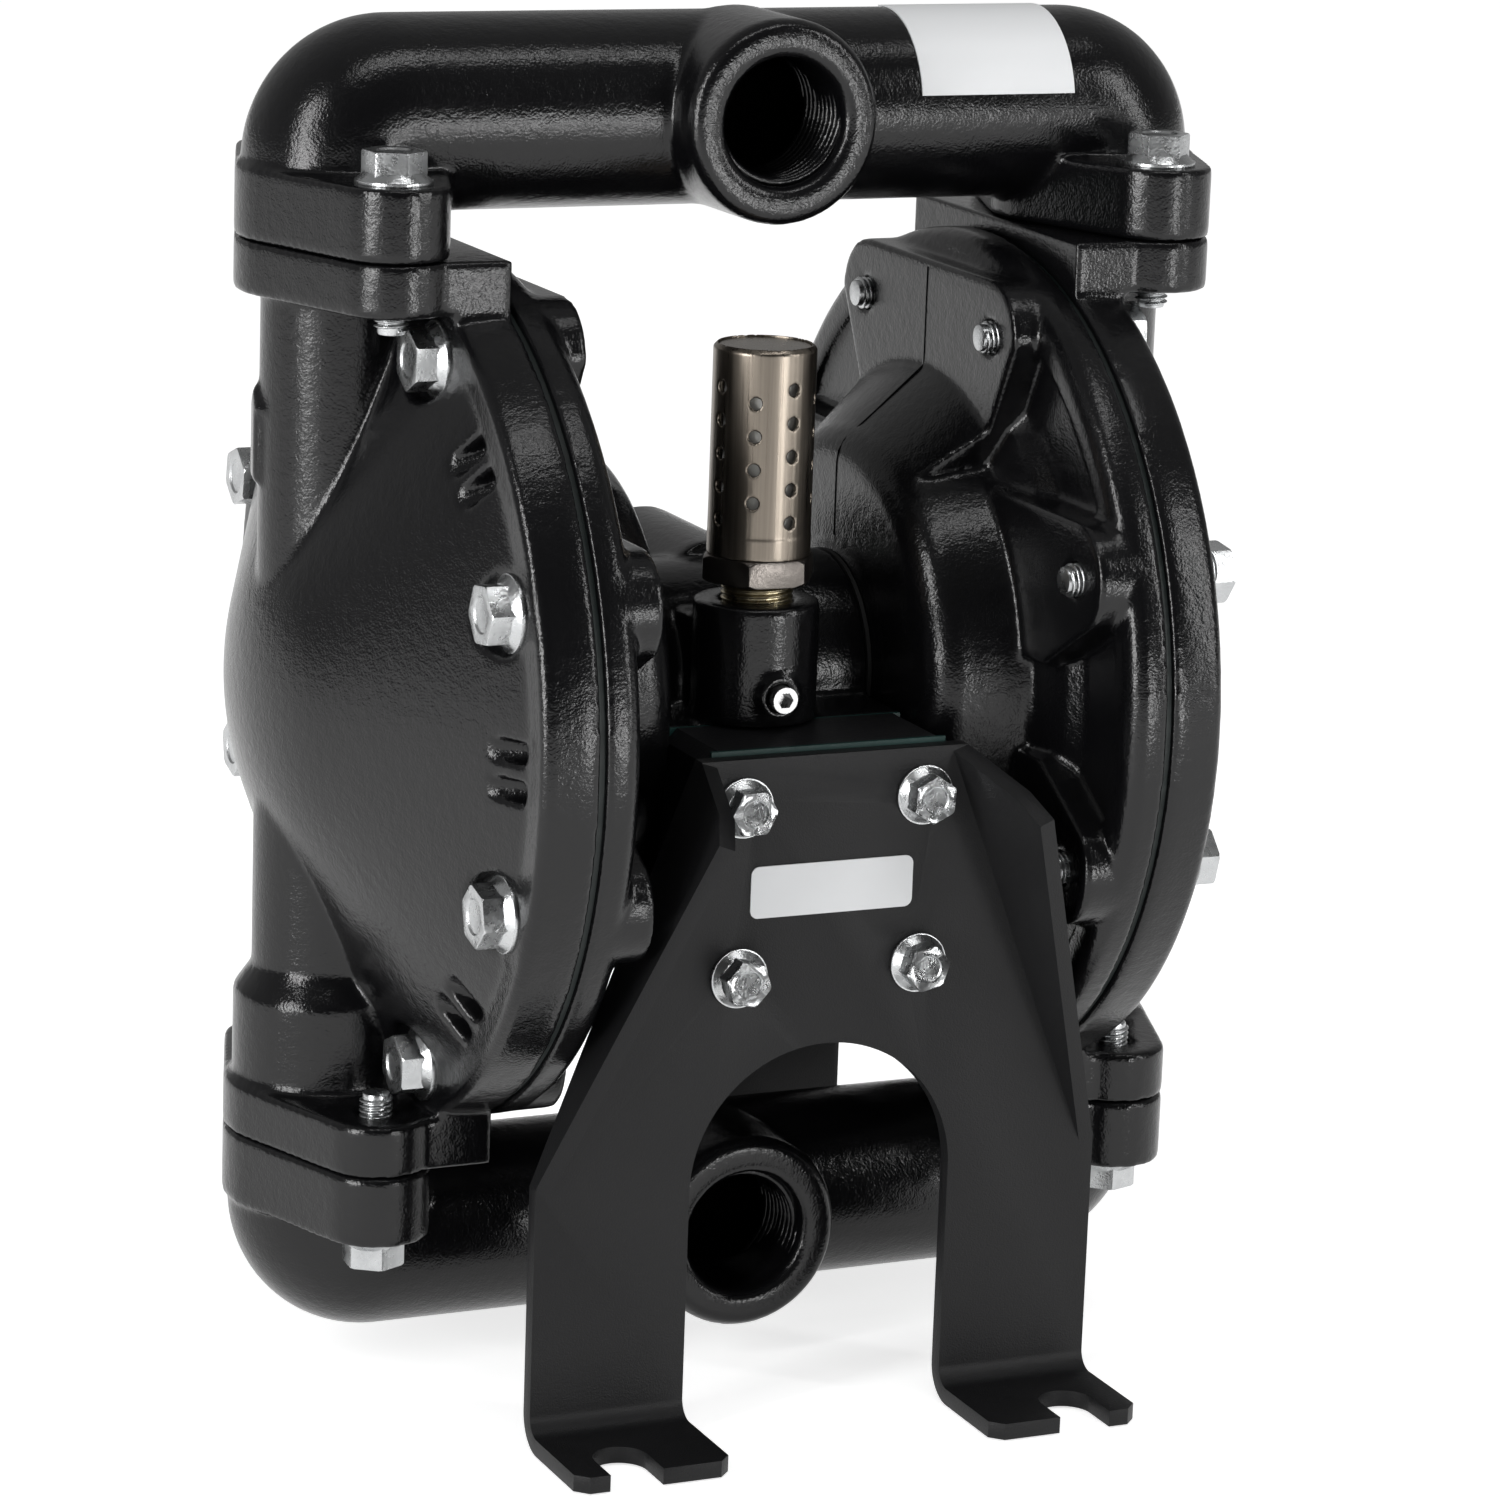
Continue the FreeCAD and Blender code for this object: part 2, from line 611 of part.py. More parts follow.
LABEL_Z = s.axis_height + s.label_z
PLUG_FACE = s.muffler_y - s.muffler_boss - s.plug_reach
# A cutting tool runs this far past the face that it opens.
PAST = 1


def bolt_ring(name, radius, low, high):
    """Eight cylinders on the cover bolt circle, for bosses and for holes."""
    body = new_body(name, AXIS, Rotation(Vector(1, 0, 0), HALF_STEP))
    sketch = body_sketch(body, f"{name}_circle", "YZ_Plane", low)
    circle(sketch, s.bolt_circle, 0, radius)
    pad = feature(body, "Pad", f"{name}_pad", sketch, as_size(high) - low)
    polar(body, f"{name}_ring", [pad], COVER_BOLTS)
    return body


def joint_outline(big, ear):
    """Outline of the joint flange: a round middle and a round ear in front and behind."""
    lean = (big - ear) / s.ear_y
    across = (1 - lean * lean).root()
    inner = (big * across, big * lean)
    outer = (ear * across, s.ear_y + ear * lean)
    return [
        (inner[0], -inner[1]),
        Arc(inner, big),
        outer,
        Arc((-outer[0], outer[1]), ear),
        (-inner[0], inner[1]),
        Arc((-inner[0], -inner[1]), big),
        (-outer[0], -outer[1]),
        Arc((outer[0], -outer[1]), ear),
    ]


def joint_flange(name, low, thick):
    return prism(name, joint_outline(s.lug_radius, s.ear_radius), thick, (s.ear_x, 0, low))


def ear_holes(name, radius, low, high):
    front = cylinder(f"{name}_front", radius, as_size(high) - low, (s.ear_x, -s.ear_y, low))
    rear = cylinder(f"{name}_rear", radius, as_size(high) - low, (s.ear_x, s.ear_y, low))
    return group(name, front, rear)


def cage_fins(name, low, stop):
    """Four fins that guide a check ball, each with a hook that stops it."""
    inner = s.ball_radius + s.guide_gap
    fins = []
    for number in range(4):
        turn = Rotation(Vector(0, 0, 1), 45 + 90 * number)
        corners = [
            (inner, 0),
            (s.cage_bore + s.fin_root, 0),
            (s.cage_bore + s.fin_root, stop - low),
            (s.column_bore + s.fin_root, stop - low + s.hook_slope),
            (s.column_bore + s.fin_root, stop - low + s.hook_thick),
            (s.ball_radius / 2, stop - low + s.hook_thick),
            (s.ball_radius / 2, stop - low),
            (inner, stop - low),
        ]
        fin = prism(f"{name}_fin{number}", corners, s.fin_thick, (0, 0, 0), UPRIGHT)
        fin.Placement = Placement(turn.multVec(Vector(0, s.fin_thick.value / 2, 0)), turn.multiply(UPRIGHT))
        fins.append(fin)
    return place(group(name, *fins), (s.column_x, 0, low))


PAD_THICK = s.air_web_x + PAST - s.pad_x
BALL_RISE = (s.ball_radius * s.ball_radius - s.seat_edge * s.seat_edge).root() + s.ball_gap
HOOK_RISE = (s.ball_radius * s.ball_radius - s.ball_radius * s.ball_radius / 4).root() + s.ball_gap
LOW_BALL = JOINT_LOW + s.seat_height + BALL_RISE
HIGH_BALL = JOINT_TOP + s.seat_height + BALL_RISE


def tangent(middle, radius, spot):
    """Where a straight line from a spot of a profile touches a circle round a middle on the axis."""
    ahead = spot[0] - middle
    square = ahead * ahead + spot[1] * spot[1]
    reach = (square - radius * radius).root()
    x = middle + (radius * radius * ahead + radius * reach * spot[1]) / square
    y = (radius * radius * spot[1] - radius * reach * ahead) / square
    return x, y


def fluid_cover():
    """Right fluid cover: domed bowl with a bolted rim, a liquid column and a lug at each end."""
    dome_middle = s.dome_apex - s.dome_radius
    foot = (s.lip_x, s.dome_foot)
    touch = tangent(dome_middle, s.dome_radius, foot)
    bowl = turned("fluid_bowl", [
        (FLUID_FACE, 0),
        (FLUID_FACE, s.rim_radius),
        (FLUID_FACE + s.rim_band, s.rim_radius),
        (s.lip_x - s.lip_round, s.rim_radius - s.rim_draft),
        (s.lip_x, s.rim_radius - s.rim_draft - s.lip_round),
        foot,
        touch,
        Arc((s.dome_apex, 0), s.dome_radius, LEFT),
    ], "X", AXIS)
    bosses = bolt_ring("fluid_bosses", s.boss_radius, FLUID_FACE, s.seat_x)
    pockets = []
    for name, low in (("near_pocket", s.rib_thick / 2), ("far_pocket", -s.pocket_half)):
        pocket_body = new_body(name, AXIS)
        sketch = body_sketch(pocket_body, f"{name}_outline", "XZ_Plane", low)
        outline(sketch, [
            (FLUID_FACE + s.pocket_floor, s.pocket_high),
            (FLUID_FACE + s.pocket_floor, s.pocket_high - s.pocket_slope),
            (s.lip_x + s.pocket_rise, s.pocket_low),
            (s.dome_apex, s.pocket_low),
            (s.dome_apex, s.pocket_high),
        ])
        pad = feature(pocket_body, "Pad", f"{name}_pad", sketch, s.pocket_half - s.rib_thick / 2)
        polar(pocket_body, f"{name}_ring", [pad], COVER_BOLTS)
        pockets.append(pocket_body)
    spots = bolt_ring("spot_faces", s.spot_radius, s.seat_x, s.dome_apex)
    flank = cut("fluid_bowl_cut", fuse("fluid_bowl_bosses", bowl, bosses), spots, *pockets)
    column = cylinder("column", s.column_radius, 2 * JOINT_OFFSET, (s.column_x, 0, JOINT_LOW))
    cage = cylinder("cage_wall", s.cage_radius, s.cage_top, (s.column_x, 0, JOINT_LOW))
    shoulder = cone("cage_shoulder", s.cage_radius, s.column_radius, s.cage_slope,
                    (s.column_x, 0, JOINT_LOW + s.cage_top))
    web = box("column_web", (FLUID_FACE, -s.web_half, JOINT_LOW), (s.column_x, s.web_half, JOINT_TOP))
    lugs = []
    root_low = (s.lip_radius * s.lip_radius - s.root_half * s.root_half).root() - s.root_depth
    for name, low, high in (("low_lug", JOINT_LOW, s.axis_height - root_low),
                            ("high_lug", s.axis_height + root_low, JOINT_TOP)):
        thick_low = low if name == "low_lug" else JOINT_TOP - s.lug_thick
        lugs.append(joint_flange(name, thick_low, s.lug_thick))
        lugs.append(box(f"{name}_root", (FLUID_FACE, -s.root_half, low), (s.lip_x, s.root_half, high)))
        lugs.append(box(f"{name}_bridge", (FLUID_FACE, -s.root_half, thick_low),
                        (s.ear_x, s.root_half, thick_low + s.lug_thick)))
    outside = fuse("fluid_outside", flank, column, cage, shoulder, web, *lugs)

    share = (s.dome_radius - s.wall) / s.dome_radius
    inner_touch = (dome_middle + (touch[0] - dome_middle) * share, touch[1] * share)
    straight = (foot[0] - touch[0], foot[1] - touch[1])
    chamber = turned("fluid_chamber", [
        (FLUID_FACE - PAST, 0),
        (FLUID_FACE - PAST, s.chamber_radius),
        (FLUID_FACE + s.chamber_band, s.chamber_radius),
        (inner_touch[0] + straight[0] * s.chamber_cone, inner_touch[1] + straight[1] * s.chamber_cone),
        inner_touch,
        Arc((s.dome_apex - s.wall, 0), s.dome_radius - s.wall, LEFT),
    ], "X", AXIS)
    bore = cylinder("column_hole", s.column_bore, 2 * JOINT_OFFSET + 2 * PAST,
                    (s.column_x, 0, JOINT_LOW - PAST))
    cage_hole = cylinder("cage_hole", s.cage_bore, s.cage_top - s.cage_roof, (s.column_x, 0, JOINT_LOW))
    seat_hole = cylinder("seat_hole", s.seat_radius + s.fit_gap, s.seat_height, (s.column_x, 0, JOINT_LOW))
    bolt_holes = bolt_ring("fluid_bolt_holes", s.hole_radius, FLUID_FACE - PAST, s.seat_x + PAST)
    low_holes = ear_holes("low_ear_holes", s.tap_radius, JOINT_LOW - PAST, JOINT_LOW + s.lug_thick + PAST)
    high_holes = ear_holes("high_ear_holes", s.tap_radius, JOINT_TOP - s.lug_thick - PAST, JOINT_TOP + PAST)
    hollow = cut("fluid_hollow", outside, chamber, bore, cage_hole, seat_hole, bolt_holes,
                 low_holes, high_holes)
    fins = cage_fins("low_cage_fins", JOINT_LOW + s.seat_height + s.fin_rise,
                     LOW_BALL + s.ball_lift + HOOK_RISE)
    return fuse("right_fluid_cover_shape", hollow, fins)


def duct_cylinder(name, radius):
    """Slanted cylinder of the air duct."""
    slope = math.radians(s.duct_angle.value)
    start_x = s.pad_x - s.duct_back * math.cos(slope)
    start_z = s.axis_height + s.duct_rise - s.duct_back * math.sin(slope)
    obj = cylinder(name, radius, s.duct_back + s.duct_ahead, (start_x, 0, start_z))
    obj.Placement = Placement(obj.Placement.Base, Rotation(Vector(0, 1, 0), 90 - s.duct_angle.value))
    return obj


def side_pads(half, top):
    """Flat pads of the air cover from the bell out to each side bolt, which they go round."""
    slant = s.pad_round * math.sqrt(0.5)
    quarter = prism("side_pad", [
        (s.bell_radius - s.pad_sink, s.side_pad_low),
        (s.side_pad_knee, s.side_pad_low),
        (top + slant, half - slant),
        Arc((top, half + s.pad_round), s.pad_round),
        (half - s.pad_inset, half + s.pad_round),
    ], PAD_THICK, (s.pad_x, 0, s.axis_height), ACROSS)
    upper = group("side_pads_upper", quarter, mirror("side_pad_front", quarter, (0, 1, 0)))
    return group("side_pads", upper, mirror("side_pads_lower", upper, (0, 0, 1), s.axis_height))


def air_cover():
    """Right air cover: bell with a bolted rim, pads round the bolts and an air duct."""
    hub_face = s.barrel_x + s.gasket_thick
    lip_edge = s.lip_radius - s.lip_width
    shell = turned("bell", [
        (hub_face, 0),
        (hub_face, s.barrel_radius),
        (s.hub_x, s.barrel_radius + s.hub_step),
        (s.hub_x, s.bell_radius - s.bell_round),
        Arc((s.hub_x + s.bell_round, s.bell_radius), s.bell_round, LEFT),
        (s.pad_x + s.foot_start, s.bell_foot),
        (s.air_web_x - s.foot_end, s.bell_foot + s.foot_rise),
        (s.air_web_x, s.bell_foot + s.foot_rise + s.foot_fillet),
        (s.air_web_x, lip_edge - s.lip_slope),
        (s.air_lip_x, lip_edge),
        (s.air_lip_x, s.lip_radius + s.lip_slope),
        (s.air_lip_x + s.lip_shoulder / 3, s.rim_radius - 2 * s.lip_slope),
        (s.air_lip_x + s.lip_shoulder, s.rim_radius),
        (AIR_FACE, s.rim_radius),
        (AIR_FACE, 0),
    ], "X", AXIS)
    bosses = bolt_ring("air_bosses", s.boss_radius, s.pad_x, AIR_FACE)
    half = s.bolt_circle * math.sin(math.radians(HALF_STEP))
    top = s.bolt_circle * math.cos(math.radians(HALF_STEP))
    pad = prism("top_pad", [
        (s.pad_sink - half, s.pad_root),
        (half - s.pad_sink, s.pad_root),
        (half + s.pad_round, top),
        Arc((half, top + s.pad_round), s.pad_round),
        (-half, top + s.pad_round),
        Arc((-half - s.pad_round, top), s.pad_round),
    ], PAD_THICK, (s.pad_x, 0, s.axis_height), ACROSS)
    low_pad = mirror("low_pad", pad, (0, 0, 1), s.axis_height)
    duct_room = turned("duct_room", [
        (s.hub_x, 0),
        (s.hub_x, s.bell_radius - s.bell_round),
        (s.hub_x + s.bell_round * 0.3, s.bell_radius - s.bell_round + s.duct_start),
        (s.hub_x + s.bell_round * 0.3 + s.duct_lean, s.rim_radius),
        (s.pad_x + PAD_THICK, s.rim_radius),
        (s.pad_x + PAD_THICK, 0),
    ], "X", AXIS)
    duct = common("duct", duct_cylinder("duct_body", s.duct_radius), duct_room)
    outside = fuse("air_outside", shell, bosses, pad, low_pad, duct, side_pads(half, top))

    chamber = turned("air_chamber", [
        (s.hub_x + s.wall, 0),
        (s.hub_x + s.wall, s.bell_radius - s.bell_round),
        Arc((s.hub_x + s.bell_round, s.bell_radius - s.wall), s.bell_round - s.wall, LEFT),
        (s.air_web_x - s.foot_end, s.bell_radius - s.wall / 2),
        (AIR_FACE, s.bell_radius),
        (AIR_FACE + PAST, s.bell_radius),
        (AIR_FACE + PAST, 0),
    ], "X", AXIS)
    hole_room = box("duct_hole_room", (s.hub_x + s.wall, -s.duct_radius, s.axis_height),
                    (s.air_web_x - s.pad_inset, s.duct_radius, s.axis_height + s.rim_radius))
    duct_bore = common("duct_bore", duct_cylinder("duct_hole", s.duct_radius - s.wall), hole_room)
    low = hub_face - PAST
    hub_length = s.hub_x + s.wall + PAST - low
    shaft_hole = cylinder("air_shaft_hole", s.shaft_radius + s.shaft_play, hub_length,
                          (low, 0, s.axis_height), "X")
    pilot_hole = cylinder("air_pilot_hole", s.pilot_radius + s.fit_gap, hub_length,
                          (low, 0, s.axis_height - s.pilot_drop), "X")
    air_hole = cylinder("air_way", s.air_way, hub_length, (low, -s.air_way_y, s.axis_height), "X")
    screw_holes = screw_ring("air_screw_holes", s.cap_screw + s.fit_gap, low, low + hub_length)
    bolt_holes = bolt_ring("air_bolt_holes", s.tap_radius, s.pad_x - PAST, AIR_FACE + PAST)
    return cut("right_air_cover_shape", outside, chamber, duct_bore, shaft_hole, pilot_hole, air_hole,
               screw_holes, bolt_holes)


def screw_ring(name, radius, low, high):
    """Four cylinders where the air cover screws go."""
    body = new_body(name, AXIS, Rotation(Vector(1, 0, 0), 45))
    sketch = body_sketch(body, f"{name}_circle", "YZ_Plane", low)
    circle(sketch, s.cap_screw_x * math.sqrt(2), 0, radius)
    pad = feature(body, "Pad", f"{name}_pad", sketch, as_size(high) - low)
    polar(body, f"{name}_ring", [pad], 4)
    return body


def diaphragm():
    """Right diaphragm: flat bead between the covers, a roll, and a flat middle between the plates."""
    roll_low = s.plate_radius + s.roll_gap
    roll_high = s.bell_radius - s.roll_gap
    thick = s.bead_thick
    sheet_profile = turned("diaphragm_sheet", [
        (AIR_FACE, s.screw_radius + s.fit_gap),
        (AIR_FACE, roll_low),
        (AIR_FACE - s.roll_depth, roll_low + s.roll_slope),
        (AIR_FACE - s.roll_depth, roll_high - s.roll_slope),
        (AIR_FACE, roll_high),
        (AIR_FACE, s.rim_radius - s.bead_inset),
        (FLUID_FACE, s.rim_radius - s.bead_inset),
        (FLUID_FACE, roll_high - s.roll_shift),
        (AIR_FACE - s.roll_depth + thick, roll_high - s.roll_slope - s.roll_shift),
        (AIR_FACE - s.roll_depth + thick, roll_low + s.roll_slope + s.roll_shift),
        (FLUID_FACE, roll_low + s.roll_shift),
        (FLUID_FACE, s.screw_radius + s.fit_gap),
    ], "X", AXIS)
    holes = bolt_ring("diaphragm_holes", s.hole_radius, AIR_FACE - PAST, FLUID_FACE + PAST)
    return cut("right_diaphragm_shape", sheet_profile, holes)


def plates():
    """Right air plate, fluid plate and shaft screw."""
    hole = s.screw_radius + s.fit_gap
    back = AIR_FACE - s.plate_thick
    air_plate = turned("air_plate_shape", [
        (back, hole),
        (back, s.air_plate_flat),
        (AIR_FACE - s.plate_edge, s.plate_radius),
        (AIR_FACE, s.plate_radius),
        (AIR_FACE, hole),
    ], "X", AXIS)
    front = FLUID_FACE + s.plate_thick
    fluid_plate = turned("fluid_plate_shape", [
        (FLUID_FACE, hole),
        (FLUID_FACE, s.plate_radius),
        (FLUID_FACE + s.plate_edge, s.plate_radius),
        (front, s.fluid_plate_flat),
        (front, hole),
    ], "X", AXIS)
    shank = cylinder("shaft_screw_shank", s.screw_radius, s.screw_length,
                     (front - s.screw_length, 0, s.axis_height), "X")
    head = hexagon("shaft_screw_head", s.screw_flats, s.screw_head, (front, 0, s.axis_height), "X")
    screw = fuse("shaft_screw_shape", shank, head)
    return air_plate, fluid_plate, screw


def shaft():
    """Diaphragm shaft with a tapped hole in each end."""
    half = AIR_FACE - s.plate_thick
    rod = cylinder("shaft_rod", s.shaft_radius, 2 * half, (-half, 0, s.axis_height), "X")
    depth = s.screw_length - 2 * s.plate_thick - s.bead_thick + s.thread_end
    right = cylinder("shaft_thread_right", s.screw_radius + s.fit_gap, depth + PAST,
                     (half - depth, 0, s.axis_height), "X")
    left = mirror("shaft_thread_left", right, (1, 0, 0))
    return cut("shaft_shape", rod, right, left)


def ring(name, outer, inner, low, high, at, axis="X"):
    """A plain ring along an axis, from one place on it to another."""
    corners = [(low, inner), (low, outer), (high, outer), (high, inner)]
    return turned(name, corners, axis, at)


def bolt(name, shank, length, washer, flats, height, at, axis):
    """Hexagon flange bolt whose head points along the axis from its seat."""
    corner = flats / math.sqrt(3)
    body = turned(f"{name}_body", [
        (-length, 0),
        (-length, shank - s.shank_chamfer),
        (s.shank_chamfer - length, shank),
        (0, shank),
        (0, washer),
        (s.washer_thick * s.washer_edge, washer),
        (s.washer_thick, corner),
        (s.washer_thick, 0),
    ], axis, at)
    chamfer = turned(f"{name}_chamfer", [
        (s.washer_thick / 4, 0),
        (s.washer_thick / 4, corner + s.corner_play),
        (height - s.head_chamfer, corner + s.corner_play),
        (height, flats / 2 * s.head_face),
        (height, 0),
    ], axis, at)
    blank = hexagon(f"{name}_hexagon", flats, height, at, axis)
    head = common(f"{name}_head", blank, chamfer)
    return fuse(name, body, head)


def cover_bolts():
    """Eight M8 flange bolts of the right covers in one ring."""
    body = new_body("cover_bolt_body", AXIS, Rotation(Vector(1, 0, 0), HALF_STEP))
    radius = s.bolt_circle
    corner = s.head_flats / math.sqrt(3)
    sketch = body_sketch(body, "cover_bolt_outline", "XY_Plane")
    outline(sketch, [
        (s.seat_x - s.shank_length, radius),
        (s.seat_x - s.shank_length, radius + s.shank_radius - s.shank_chamfer),
        (s.seat_x - s.shank_length + s.shank_chamfer, radius + s.shank_radius),
        (s.seat_x, radius + s.shank_radius),
        (s.seat_x, radius + s.washer_radius),
        (s.seat_x + s.washer_thick * s.washer_edge, radius + s.washer_radius),
        (s.seat_x + s.washer_thick, radius + corner + s.corner_play),
        (s.seat_x + s.head_height - s.head_chamfer, radius + corner + s.corner_play),
        (s.seat_x + s.head_height, radius + s.head_flats / 2 * s.head_face),
        (s.seat_x + s.head_height, radius),
    ])
    near, far = Vector(0, radius.value, 0), Vector(s.seat_x.value, radius.value, 0)
    middle = sketch.addGeometry(Part.LineSegment(near, far), True)
    fix(sketch, middle, 1, (as_size(0), radius))
    fix(sketch, middle, 2, (s.seat_x, radius))
    blank = body.newObject("PartDesign::Revolution", "cover_bolt_blank")
    blank.Profile = sketch
    blank.ReferenceAxis = (sketch, ["Axis0"])
    blank.Angle = 360
    doc.recompute()
    hex_sketch = body_sketch(body, "cover_bolt_hexagon", "YZ_Plane", s.seat_x + s.head_height)
    corners = []
    for number in range(6):
        turn = math.radians(60 * number)
        corners.append((radius + corner * math.cos(turn), corner * math.sin(turn)))
    outline(hex_sketch, corners)
    circle(hex_sketch, radius, 0, s.washer_radius + PAST)
    flats = feature(body, "Pocket", "cover_bolt_flats", hex_sketch, s.head_height - s.washer_thick)
    polar(body, "cover_bolt_ring", [blank, flats], COVER_BOLTS)
    return body


def manifold_bolts():
    """Four M8 flange bolts of the outlet manifold, and the same turned over for the inlet manifold."""
    seat_height = JOINT_TOP + s.flange_height
    one = bolt("manifold_bolt", s.shank_radius, s.shank_length, s.washer_radius, s.head_flats, s.head_height,
               (s.ear_x, s.ear_y, seat_height), "Z")
    pair = group("manifold_bolt_pair", one, mirror("manifold_bolt_front", one, (0, 1, 0)))
    outlet = group("outlet_bolts", pair, mirror("manifold_bolts_left", pair, (1, 0, 0)))
    return outlet, mirror("inlet_bolts", outlet, (0, 0, 1), s.axis_height)


def bracket_bolts():
    """Four M6 flange bolts behind the rear bracket, and four longer ones in front."""
    sets = []
    for name, length in (("rear", s.rear_shank), ("front", s.bracket_shank)):
        pair = []
        for height in (BOLT_UPPER, BOLT_LOWER):
            at = (s.bolt_col, s.bracket_face, height)
            pair.append(bolt(f"{name}_bolt", s.small_shank, length, s.small_washer, s.small_flats,
                             s.small_head, at, "Y"))
        right = group(f"{name}_bolt_pair", *pair)
        sets.append(group(f"{name}_bolts", right, mirror(f"{name}_bolts_left", right, (1, 0, 0))))
    rear, front = sets
    return rear, mirror("front_bolts_turned", front, (0, 1, 0))


def cap_screws():
    """Four M5 socket screws that hold the right air cover to the centre housing."""
    body = new_body("cap_screw_body", AXIS, Rotation(Vector(1, 0, 0), 45))
    seat = s.hub_x + s.wall
    place_y = s.cap_screw_x * math.sqrt(2)
    features = []
    for name, low, length, radius in (("shank", seat - s.cap_screw_length, s.cap_screw_length, s.cap_screw),
                                      ("head", seat, 2 * s.cap_screw, s.cap_screw_head)):
        sketch = body_sketch(body, f"cap_screw_{name}_circle", "YZ_Plane", low)
        circle(sketch, place_y, 0, radius)
        features.append(feature(body, "Pad", f"cap_screw_{name}", sketch, length))
        doc.recompute()
    socket = body_sketch(body, "cap_screw_socket", "YZ_Plane", seat + 2 * s.cap_screw)
    circle(socket, place_y, 0, s.socket_radius)
    features.append(feature(body, "Pocket", "cap_screw_recess", socket, s.cap_screw))
    polar(body, "cap_screw_ring", features, 4)
    return body


def manifold_shell():
    """Outlet manifold with a plain bore: tube, round corners, joint flanges and the threaded port."""
    corner_x = s.column_x - s.bend_radius
    corner_z = TUBE_TOP - s.bend_radius
    half_chord = (s.tube_radius * s.tube_radius - s.bend_radius * s.bend_radius).root()
    tube = cylinder("manifold_tube", s.tube_radius, 2 * corner_x, (-corner_x, 0, TUBE_TOP), "X")
    drop = cylinder("manifold_drop", s.tube_radius, corner_z - JOINT_TOP, (s.column_x, 0, JOINT_TOP))
    elbow_sketch = outline(new_sketch("manifold_corner_outline"), [
        (0, -half_chord),
        Arc((0, half_chord), s.tube_radius, RIGHT, True),
    ])
    elbow = doc.addObject("Part::Revolution", "manifold_corner")
    elbow.Source = elbow_sketch
    elbow.Axis = Vector(0, -1, 0)
    elbow.Angle = 90
    elbow.Solid = True
    place(elbow, (corner_x, 0, corner_z))
    flange = joint_flange("manifold_flange", JOINT_TOP, s.flange_height)
    half = fuse("manifold_end", drop, elbow, flange)
    other = mirror("manifold_other_end", half, (1, 0, 0))
    face = -s.port_face
    boss = cylinder("port_boss", s.port_radius, s.port_face - s.port_bevel,
                    (0, face + s.port_bevel, TUBE_TOP), "Y")
    bevel = cone("port_bevel", s.port_ring, s.port_radius, s.port_bevel, (0, face, TUBE_TOP), "Y")
    outside = fuse("manifold_outside", tube, half, other, boss, bevel)
    way = cylinder("manifold_bore", s.tube_bore, 2 * s.column_x, (-s.column_x, 0, TUBE_TOP), "X")
    turn = ball("corner_room", s.tube_bore - s.corner_room, (s.column_x, 0, TUBE_TOP))
    other_turn = mirror("corner_room_left", turn, (1, 0, 0))
    port = cylinder("port_thread", s.port_bore, s.port_face, (0, face, TUBE_TOP), "Y")
    mouth = cone("port_chamfer", s.port_mouth, s.port_bore, s.port_mouth - s.port_bore,
                 (0, face, TUBE_TOP), "Y")
    holes = ear_holes("manifold_holes", s.hole_radius, JOINT_TOP - PAST, JOINT_TOP + s.flange_height + PAST)
    other_holes = mirror("manifold_holes_left", holes, (1, 0, 0))
    return cut("manifold_shell", outside, way, turn, other_turn, port, mouth, holes, other_holes)


def manifolds():
    """Outlet manifold with the upper ball chambers, and inlet manifold with plain bores."""
    shell = manifold_shell()
    room = cylinder("outlet_cage", s.cage_bore, s.port_offset, (s.column_x, 0, JOINT_TOP))
    pocket = cylinder("outlet_seat_hole", s.seat_radius + s.fit_gap, s.seat_height,
                      (s.column_x, 0, JOINT_TOP))
    rooms = fuse("outlet_rooms", room, pocket)
    other_rooms = mirror("outlet_rooms_left", rooms, (1, 0, 0))
    opened = cut("outlet_opened", shell, rooms, other_rooms)
    fins = cage_fins("high_cage_fins", JOINT_TOP + s.seat_height + s.fin_rise,
                     HIGH_BALL + s.ball_lift + HOOK_RISE)
    outlet = fuse("outlet_shape", opened, fins, mirror("high_cage_fins_left", fins, (1, 0, 0)))
    low_shell = mirror("inlet_shell", shell, (0, 0, 1), s.axis_height)
    way = cylinder("inlet_way", s.column_bore, s.port_offset, (s.column_x, 0, TUBE_LOW))
    inlet = cut("inlet_shape", low_shell, way, mirror("inlet_way_left", way, (1, 0, 0)))
    return outlet, inlet


def seat(name, low):
    """Valve seat ring with a bevel for the ball and a groove for its O-ring."""
    top = low + s.seat_height
    blank = turned(name + "_blank", [
        (low, s.seat_bore),
        (low, s.seat_radius),
        (top, s.seat_radius),
        (top, s.seat_edge),
        (top - s.seat_bevel, s.seat_bore),
    ], "Z", (s.column_x, 0, 0))
    groove_half = s.ring_section + s.fit_gap
    groove = turned(name + "_groove", [
        (low - PAST, s.ring_radius - groove_half),
        (low - PAST, s.ring_radius + groove_half),
        (low + 2 * groove_half, s.ring_radius + groove_half),
        (low + 2 * groove_half, s.ring_radius - groove_half),
    ], "Z", (s.column_x, 0, 0))
    return cut(name, blank, groove)


def check_valves():
    """Seats, O-rings and balls of the four check valves."""
    for side, low, centre in (("inlet", JOINT_LOW, LOW_BALL), ("outlet", JOINT_TOP, HIGH_BALL)):
        both_sides(seat(f"{side}_seat_shape", low), f"{side}_seat")
        both_sides(ball(f"{side}_ball_shape", s.ball_radius, (s.column_x, 0, centre)), f"{side}_ball")
        height = low + s.ring_section + s.fit_gap / 2
        right_ring = torus(f"{side}_ring_right", s.ring_radius, s.ring_section, (s.column_x, 0, height))
        left_ring = mirror(f"{side}_ring_left", right_ring, (1, 0, 0))
        node(group(f"{side}_seat_rings", right_ring, left_ring), f"{side}_seat_rings")


